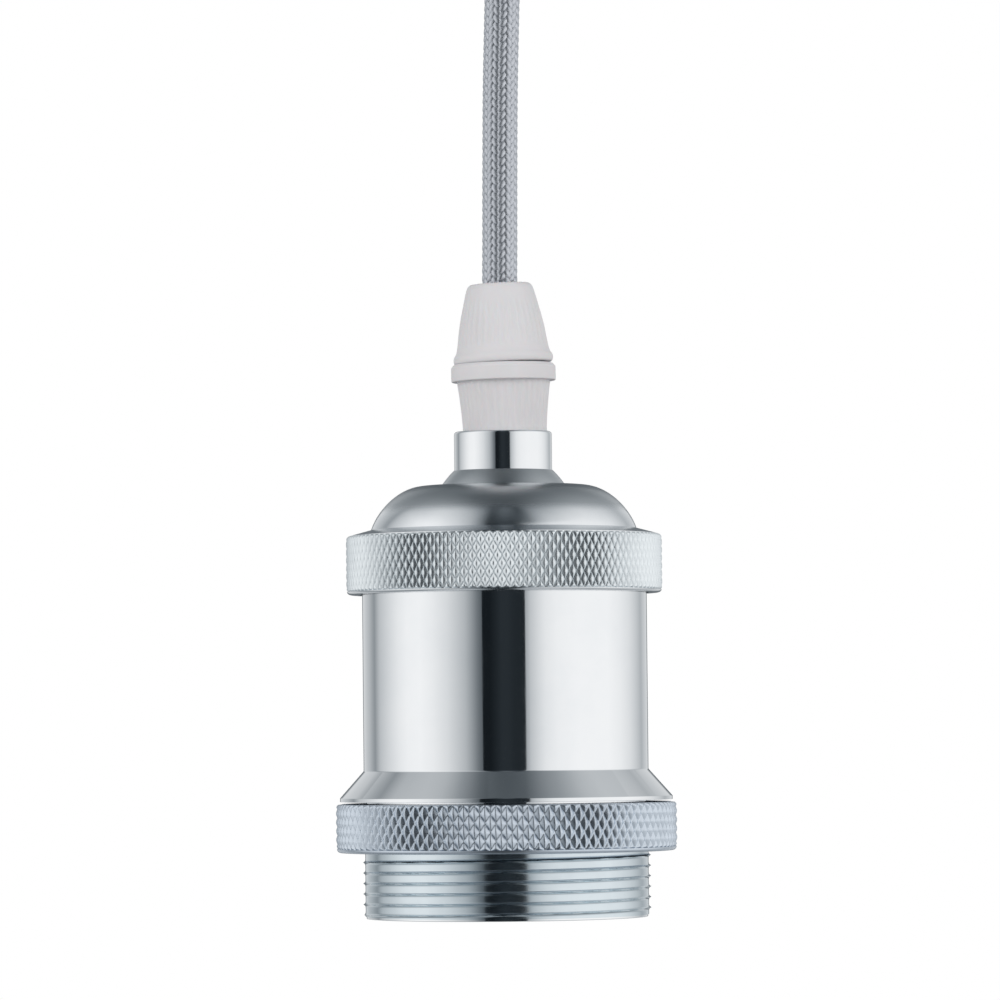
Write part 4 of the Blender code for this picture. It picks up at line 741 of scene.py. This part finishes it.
turns = even_turns(SHELL_COLUMNS)
heights = SHELL_FOOT + np.linspace(0, SHELL_HEIGHT - SHELL_WALL, SHELL_ROWS)
edge = np.minimum(heights - SHELL_FOOT, SHELL_TOP - SHELL_WALL - heights)
depth = SHELL_THREAD_DEPTH * np.clip(edge / (SHELL_THREAD_PITCH / 2), 0, 1)
phase = (heights[:, None] - NECK_TOP) / SHELL_THREAD_PITCH - turns / (2 * np.pi)
inside = SHELL_CREST - depth[:, None] * (0.5 - 0.5 * np.cos(2 * np.pi * phase))
rings = [(radius + SHELL_WALL, height) for radius, height in zip(inside, heights)]
rings += [(SHELL_CREST + SHELL_WALL, SHELL_TOP), (SHELL_FLANGE_RADIUS, SHELL_TOP),
          (SHELL_FLANGE_RADIUS, SHELL_TOP - SHELL_WALL)]
rings += list(zip(inside, heights))[::-1]
points = np.array([around(radius, turns, height) for radius, height in rings])
add_piece("rolled_shell", points, grid_faces(len(rings), SHELL_COLUMNS, close_levels=True), nickel,
          "nickel_shell", replaced=("screw_shell",), placed=holder_place, sharp=50)


# Wires
# Three insulated wires leave the braid at each end: live to the centre contact, neutral to the shell
# and earth to the strap, and the same three run to the block in the canopy.
live = moulded("brown_insulation", (0.25, 0.11, 0.05), (0.20, 0.085, 0.04), 0.40, 0.55, 0.00001)
neutral = moulded("blue_insulation", (0.04, 0.15, 0.48), (0.03, 0.12, 0.40), 0.40, 0.55, 0.00001)
earth = moulded("green_insulation", (0.10, 0.36, 0.08), (0.62, 0.62, 0.06), 0.40, 0.55, 0.00001)
for end_name in ("holder", "canopy"):
    dress(live, end_name + "_live_wire")
    dress(neutral, end_name + "_neutral_wire")
    dress(earth, end_name + "_earth_wire")


# Canopy, bracket and terminal block
# The canopy is a spun steel cup, chromed like the holder. Two side screws hold it to the folded bracket
# that is fixed to the ceiling, and the block joins the cord's wires to the house's.
CANOPY_RADIUS = 0.0400
CANOPY_WALL = 0.0012
block_plastic = moulded("block_plastic", (0.85, 0.84, 0.78), (0.79, 0.775, 0.71), 0.42, 0.58, 0.00001)
dress(block_plastic, "terminal_block")
outline = rounded([(CANOPY_RADIUS, 0, 0.0002), (CANOPY_RADIUS, -CANOPY_DEPTH, 0.0040),
                   (NECK_BORE, -CANOPY_DEPTH, 0), (NECK_BORE, -CANOPY_DEPTH + CANOPY_WALL, 0),
                   (CANOPY_RADIUS - CANOPY_WALL, -CANOPY_DEPTH + CANOPY_WALL, 0.0028),
                   (CANOPY_RADIUS - CANOPY_WALL, 0, 0.0002)], step=6)
points, faces = turned(outline)
add_piece("canopy_cup", points, faces, chrome, "polished_chrome", replaced=("canopy",))

SCREW_DROP = 0.0060
SCREW_REACH = 0.0050
SCREW_RADIUS = 0.0015
SCREW_HEAD_RADIUS = 0.0030
SCREW_HEAD_HEIGHT = 0.0030
SCREW_HEAD_ROUNDING = 0.0006
SCREW_SLOT_WIDTH = 0.00105
SCREW_SLOT_DEPTH = 0.0012
SCREW_COLUMNS = 42


def slotted_screw():
    """Points and faces of a screw that stands on its tip: a shaft, and a head of two rounded halves with
    the slot between them."""
    count, half = SCREW_COLUMNS, SCREW_COLUMNS // 2

    def ring(radius, height, inset=0.0):
        """Two arcs, one on each side of the slot."""
        start = math.asin(min(1.0, (SCREW_SLOT_WIDTH / 2 + inset) / radius))
        turn = np.linspace(start, math.pi - start, half)
        return around(radius, np.concatenate([turn, turn + math.pi]), height)

    top = SCREW_REACH + SCREW_HEAD_HEIGHT
    floor = top - SCREW_SLOT_DEPTH
    rings = [ring(SCREW_RADIUS, 0), ring(SCREW_RADIUS, SCREW_REACH), ring(SCREW_HEAD_RADIUS, SCREW_REACH),
             ring(SCREW_HEAD_RADIUS, floor)]
    for turn in (0, 30, 60, 90):
        back = SCREW_HEAD_ROUNDING * (1 - math.cos(math.radians(turn)))
        drop = SCREW_HEAD_ROUNDING * (1 - math.sin(math.radians(turn)))
        rings.append(ring(SCREW_HEAD_RADIUS - back, top - drop, 0.2 * back))
    faces = [list(range(count))[::-1]]
    for level in range(len(rings) - 1):
        low, high = level * count, (level + 1) * count
        for at in range(count):
            after = (at + 1) % count
            if level < 3 or after % half:
                faces.append([low + at, low + after, high + after, high + at])
        if level >= 3:
            for first in (0, half):
                last = first + half - 1
                faces.append([low + last, low + first, high + first, high + last])
    floor_at, top_at = 3 * count, (len(rings) - 1) * count
    faces.append([floor_at + half - 1, floor_at + half, floor_at + count - 1, floor_at])
    faces += [[top_at + first + at for at in range(half)] for first in (0, half)]
    return np.concatenate(rings), faces


for side, label in ((-1, "left"), (1, "right")):
    tip = Vector((side * (CANOPY_RADIUS + FIT - SCREW_REACH), 0, -SCREW_DROP))
    seat = Matrix.Translation(tip) @ Vector((side, 0, 0)).to_track_quat("Z", "Y").to_matrix().to_4x4()
    points, faces = slotted_screw()
    add_piece(label + "_side_screw", points, faces, thin_chrome, "polished_chrome",
              replaced=("canopy_screw_" + label,), placed=seat)

# The cord is short here, and in the photograph's studio nothing hangs over the holder, so its mirror
# finish doesn't show the canopy and what is in it
for name in ("canopy_cup", "canopy_grip_moulding", "canopy_nut_moulding", "left_side_screw",
             "right_side_screw"):
    bpy.data.objects[name].visible_glossy = False
for name in ("ceiling_bracket", "terminal_block", "canopy_locknut", "block_screw_live",
             "block_screw_neutral", "block_screw_earth", "canopy_live_wire", "canopy_neutral_wire",
             "canopy_earth_wire"):
    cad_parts[name].visible_glossy = False


# Studio
# Two tall soft boxes stand left and right with a dark gap between them, where the camera is. The chrome
# sees them, a grey back wall and a dim ceiling. Plain lamps and the world light what isn't metal.
STUDIO_CENTRE = Vector((0, 0, -0.13))
PANEL_RADIUS = 0.66
NEAR_PANEL_RADIUS = 0.64
PANEL_POINTS = 49
HALL_RADIUS = 3.0
FLOOR_RADIUS = 2.6
FLOOR_HEIGHT = -0.86
FLOOR_COLUMNS = 96
FLOOR_LIFT = 0.30
WORLD_LEVEL = 0.50


def add_stage(name, points, faces, material, seen_in_gloss_only=True):
    """A piece of the studio, which isn't part of the object."""
    mesh = bpy.data.meshes.new(name)
    mesh.from_pydata(np.asarray(points, float).reshape(-1, 3).tolist(), [], faces)
    mesh.materials.append(material)
    piece = bpy.data.objects.new(name, mesh)
    bpy.context.scene.collection.objects.link(piece)
    if seen_in_gloss_only:
        piece.visible_camera = False
        piece.visible_diffuse = False
        piece.visible_transmission = False
        piece.visible_shadow = False
    return piece


def light_only(name):
    """A material that gives light alone, its node tree and its light."""
    material = bpy.data.materials.new(name)
    material.use_nodes = True
    material.cycles.emission_sampling = "NONE"
    tree = material.node_tree
    tree.nodes.clear()
    light = add_node(tree, "ShaderNodeEmission")
    surface = add_node(tree, "ShaderNodeOutputMaterial")
    tree.links.new(light.outputs[0], surface.inputs["Surface"])
    return material, tree, light


def ramp_over(tree, value, stops):
    """The colour that a ramp of (place, colour) stops gives for a value."""
    ramp = add_node(tree, "ShaderNodeValToRGB")
    marks = ramp.color_ramp.elements
    while len(marks) < len(stops):
        marks.new(0.5)
    for mark, (at, colour) in zip(marks, stops):
        mark.position = at
        mark.color = (*colour, 1)
    tree.links.new(value, ramp.inputs["Fac"])
    return ramp.outputs["Color"]


def add_panel(name, azimuths, elevations, across, up, radius=PANEL_RADIUS):
    """A curved panel round the object. across and up give its light as (azimuth or elevation, share) pairs,
    and the weaker the light is, the cooler it is."""
    material, tree, light = light_only(name)
    place = add_node(tree, "ShaderNodeUVMap", {"uv_map": "panel"})
    split = add_node(tree, "ShaderNodeSeparateXYZ")
    product = add_node(tree, "ShaderNodeMix", {"data_type": "RGBA", "blend_type": "MULTIPLY"}, Factor=1.0)
    tree.links.new(place.outputs["UV"], split.inputs[0])
    for axis, socket, low, high, stops in (("X", "A", *azimuths, across), ("Y", "B", *elevations, up)):
        stops = [((at - low) / (high - low), (share**1.12, share**1.05, share)) for at, share in stops]
        tree.links.new(ramp_over(tree, split.outputs[axis], stops), product.inputs[socket])
    tree.links.new(product.outputs["Result"], light.inputs["Color"])
    azimuth = np.radians(np.linspace(*azimuths, PANEL_POINTS))[None, :]
    elevation = np.radians(np.linspace(*elevations, PANEL_POINTS))[:, None]
    points = around(radius * np.cos(elevation), azimuth - np.pi / 2, radius * np.sin(elevation))
    row, column = np.mgrid[0:PANEL_POINTS - 1, 0:PANEL_POINTS - 1]
    corner = (row * PANEL_POINTS + column).ravel()
    faces = np.stack([corner, corner + 1, corner + PANEL_POINTS + 1, corner + PANEL_POINTS], -1).tolist()
    piece = add_stage(name, points + np.array(STUDIO_CENTRE), faces, material)
    shares = np.linspace(0, 1, PANEL_POINTS)
    add_uv(piece, "panel", np.stack(np.meshgrid(shares, shares), -1).reshape(-1, 2))


low_light = [(-89, 0.45), (-60, 0.48), (-48, 0.56), (-36, 0.72), (-22, 0.96), (-8, 1.0)]
add_panel("left_soft_box", (-142, -18), (-89, 89),
          [(-142, 0.53), (-130, 0.33), (-121, 0.58), (-113, 0.68), (-105, 0.78), (-95, 0.90), (-85, 0.98),
           (-72, 1.0), (-60, 0.93), (-47, 0.79), (-37, 0.62), (-32, 0.53), (-27, 0.38), (-22, 0.22),
           (-18, 0.13)],
          low_light + [(36, 1.0), (43, 0.90), (50, 0.80), (57, 0.70), (64, 0.54), (70, 0.33), (76, 0.17),
                       (82, 0.13), (89, 0.14)])
add_panel("right_soft_box", (16, 146), (-89, 40),
          [(16, 0.42), (20, 0.61), (26, 0.76), (32, 0.88), (42, 0.96), (60, 1.0), (90, 1.0), (105, 0.93),
           (118, 0.82), (128, 0.69), (136, 0.58), (141, 0.50), (146, 0.55)],
          low_light + [(26, 1.0), (40, 0.86)])
add_panel("right_box_top", (16, 146), (40, 89),
          [(16, 0.11), (21, 0.15), (28, 0.26), (35, 0.55), (42, 0.72), (50, 0.84), (62, 0.92), (75, 1.0),
           (100, 1.0), (112, 0.88), (125, 0.70), (146, 0.50)],
          [(40, 0.84), (50, 0.70), (57, 0.57), (62, 0.46), (68, 0.34), (74, 0.25), (79, 0.15), (83, 0.10),
           (89, 0.14)])
add_panel("back_wall", (146, 218), (-89, 89),
          [(146, 0.57), (158, 0.68), (164, 0.72), (168, 0.20), (192, 0.20), (196, 0.72), (202, 0.68),
           (218, 0.53)],
          low_light + [(22, 1.0), (30, 0.7), (44, 0.35), (58, 0.40), (70, 0.45), (89, 0.45)])
add_panel("front_gap", (-18, 16), (-89, 89),
          [(-18, 0.40), (-12, 0.42), (-7, 0.72), (-3, 1.0), (2, 1.0), (7, 0.82), (16, 0.70)],
          [(-89, 0.05), (-70, 0.03), (0, 0.034), (20, 0.042), (42, 0.060), (52, 0.095), (62, 0.14),
           (70, 0.17), (76, 0.13), (83, 0.095), (89, 0.14)])
add_panel("overhead", (-180, 180), (78, 89), [(-180, 1.0), (180, 1.0)],
          [(78, 0.14), (80, 0.115), (82, 0.09), (89, 0.10)], radius=NEAR_PANEL_RADIUS)
add_panel("high_back_light", (172, 188), (48, 72), [(172, 0.0), (178, 1.0), (182, 1.0), (188, 0.0)],
          [(48, 0.0), (54, 0.35), (66, 0.35), (72, 0.0)], radius=NEAR_PANEL_RADIUS)

# A dim hall closes the studio behind the panels
turns = np.radians(np.arange(0, 360, 10))
levels = np.radians(np.arange(-80, 81, 10))[:, None]
hall = around(HALL_RADIUS * np.cos(levels), turns, HALL_RADIUS * np.sin(levels)) + np.array(STUDIO_CENTRE)
last_ring = len(turns) * (len(levels) - 1)
hall_faces = grid_faces(len(levels), len(turns)).tolist()
hall_faces += [list(range(len(turns))), [last_ring + column for column in range(len(turns))]]
material, tree, light = light_only("dim_studio")
place = add_node(tree, "ShaderNodeTexCoord")
split = add_node(tree, "ShaderNodeSeparateXYZ")
rise = add_node(tree, "ShaderNodeMapRange", From_Min=-0.5, From_Max=HALL_RADIUS)
tree.links.new(place.outputs["Object"], split.inputs[0])
tree.links.new(split.outputs["Z"], rise.inputs["Value"])
greys = [(at, (share, share * 1.05, share * 1.1))
         for at, share in ((0.05, 0.035), (0.55, 0.06), (1.0, 0.10))]
tree.links.new(ramp_over(tree, rise.outputs["Result"], greys), light.inputs["Color"])
add_stage("dim_studio", hall, hall_faces, material)

# Pale floor, well below the hanging light
floor_material, tree, shader = new_material("pale_floor", (0.86, 0.86, 0.86), 0.6)
place = add_node(tree, "ShaderNodeTexCoord")
speckle = add_node(tree, "ShaderNodeTexNoise", Scale=60.0, Detail=4.0)
tint = add_node(tree, "ShaderNodeMix", {"data_type": "RGBA"}, A=(0.85, 0.85, 0.85, 1),
                B=(0.88, 0.88, 0.88, 1))
tree.links.new(place.outputs["Object"], speckle.inputs["Vector"])
tree.links.new(speckle.outputs["Fac"], tint.inputs["Factor"])
tree.links.new(tint.outputs["Result"], shader.inputs["Base Color"])
# Seen by the camera the floor is a little paler than it is lit, and it lights nothing
path = add_node(tree, "ShaderNodeLightPath")
paler = add_node(tree, "ShaderNodeMath", {"operation": "MULTIPLY"})
paler.inputs[1].default_value = FLOOR_LIFT
tree.links.new(path.outputs["Is Camera Ray"], paler.inputs[0])
tree.links.new(tint.outputs["Result"], shader.inputs["Emission Color"])
tree.links.new(paler.outputs[0], shader.inputs["Emission Strength"])
add_stage("floor", around(FLOOR_RADIUS, even_turns(FLOOR_COLUMNS), FLOOR_HEIGHT),
          [list(range(FLOOR_COLUMNS))], floor_material, seen_in_gloss_only=False)

# Lamps that the metal doesn't see
for name, place, size, power in (("left_lamp", (-0.9, -0.7, 0.25), 0.8, 7.0),
                                 ("right_lamp", (0.9, -0.7, 0.25), 0.8, 7.3),
                                 ("top_lamp", (0.0, 0.5, 1.1), 1.0, 5.0)):
    lamp = bpy.data.objects.new(name, bpy.data.lights.new(name, "AREA"))
    lamp.data.shape = "SQUARE"
    lamp.data.size = size
    lamp.data.energy = power
    lamp.location = place
    lamp.rotation_euler = (STUDIO_CENTRE - Vector(place)).to_track_quat("-Z", "Y").to_euler()
    lamp.visible_glossy = False
    bpy.context.scene.collection.objects.link(lamp)

# White surroundings for the camera and for gloss, and a plain level of light for the rest
world = bpy.data.worlds.new("studio")
world.use_nodes = True
bpy.context.scene.world = world
tree = world.node_tree
background = tree.nodes["Background"]
path = add_node(tree, "ShaderNodeLightPath")
glossy = add_node(tree, "ShaderNodeMath", {"operation": "MAXIMUM"})
clear = add_node(tree, "ShaderNodeMath", {"operation": "MAXIMUM"})
level = add_node(tree, "ShaderNodeMapRange", To_Min=WORLD_LEVEL, To_Max=1.0)
tree.links.new(path.outputs["Is Camera Ray"], glossy.inputs[0])
tree.links.new(path.outputs["Is Glossy Ray"], glossy.inputs[1])
tree.links.new(glossy.outputs[0], clear.inputs[0])
tree.links.new(path.outputs["Is Transmission Ray"], clear.inputs[1])
tree.links.new(clear.outputs[0], level.inputs["Value"])
tree.links.new(level.outputs["Result"], background.inputs["Strength"])
background.inputs["Color"].default_value = (1, 1, 1, 1)
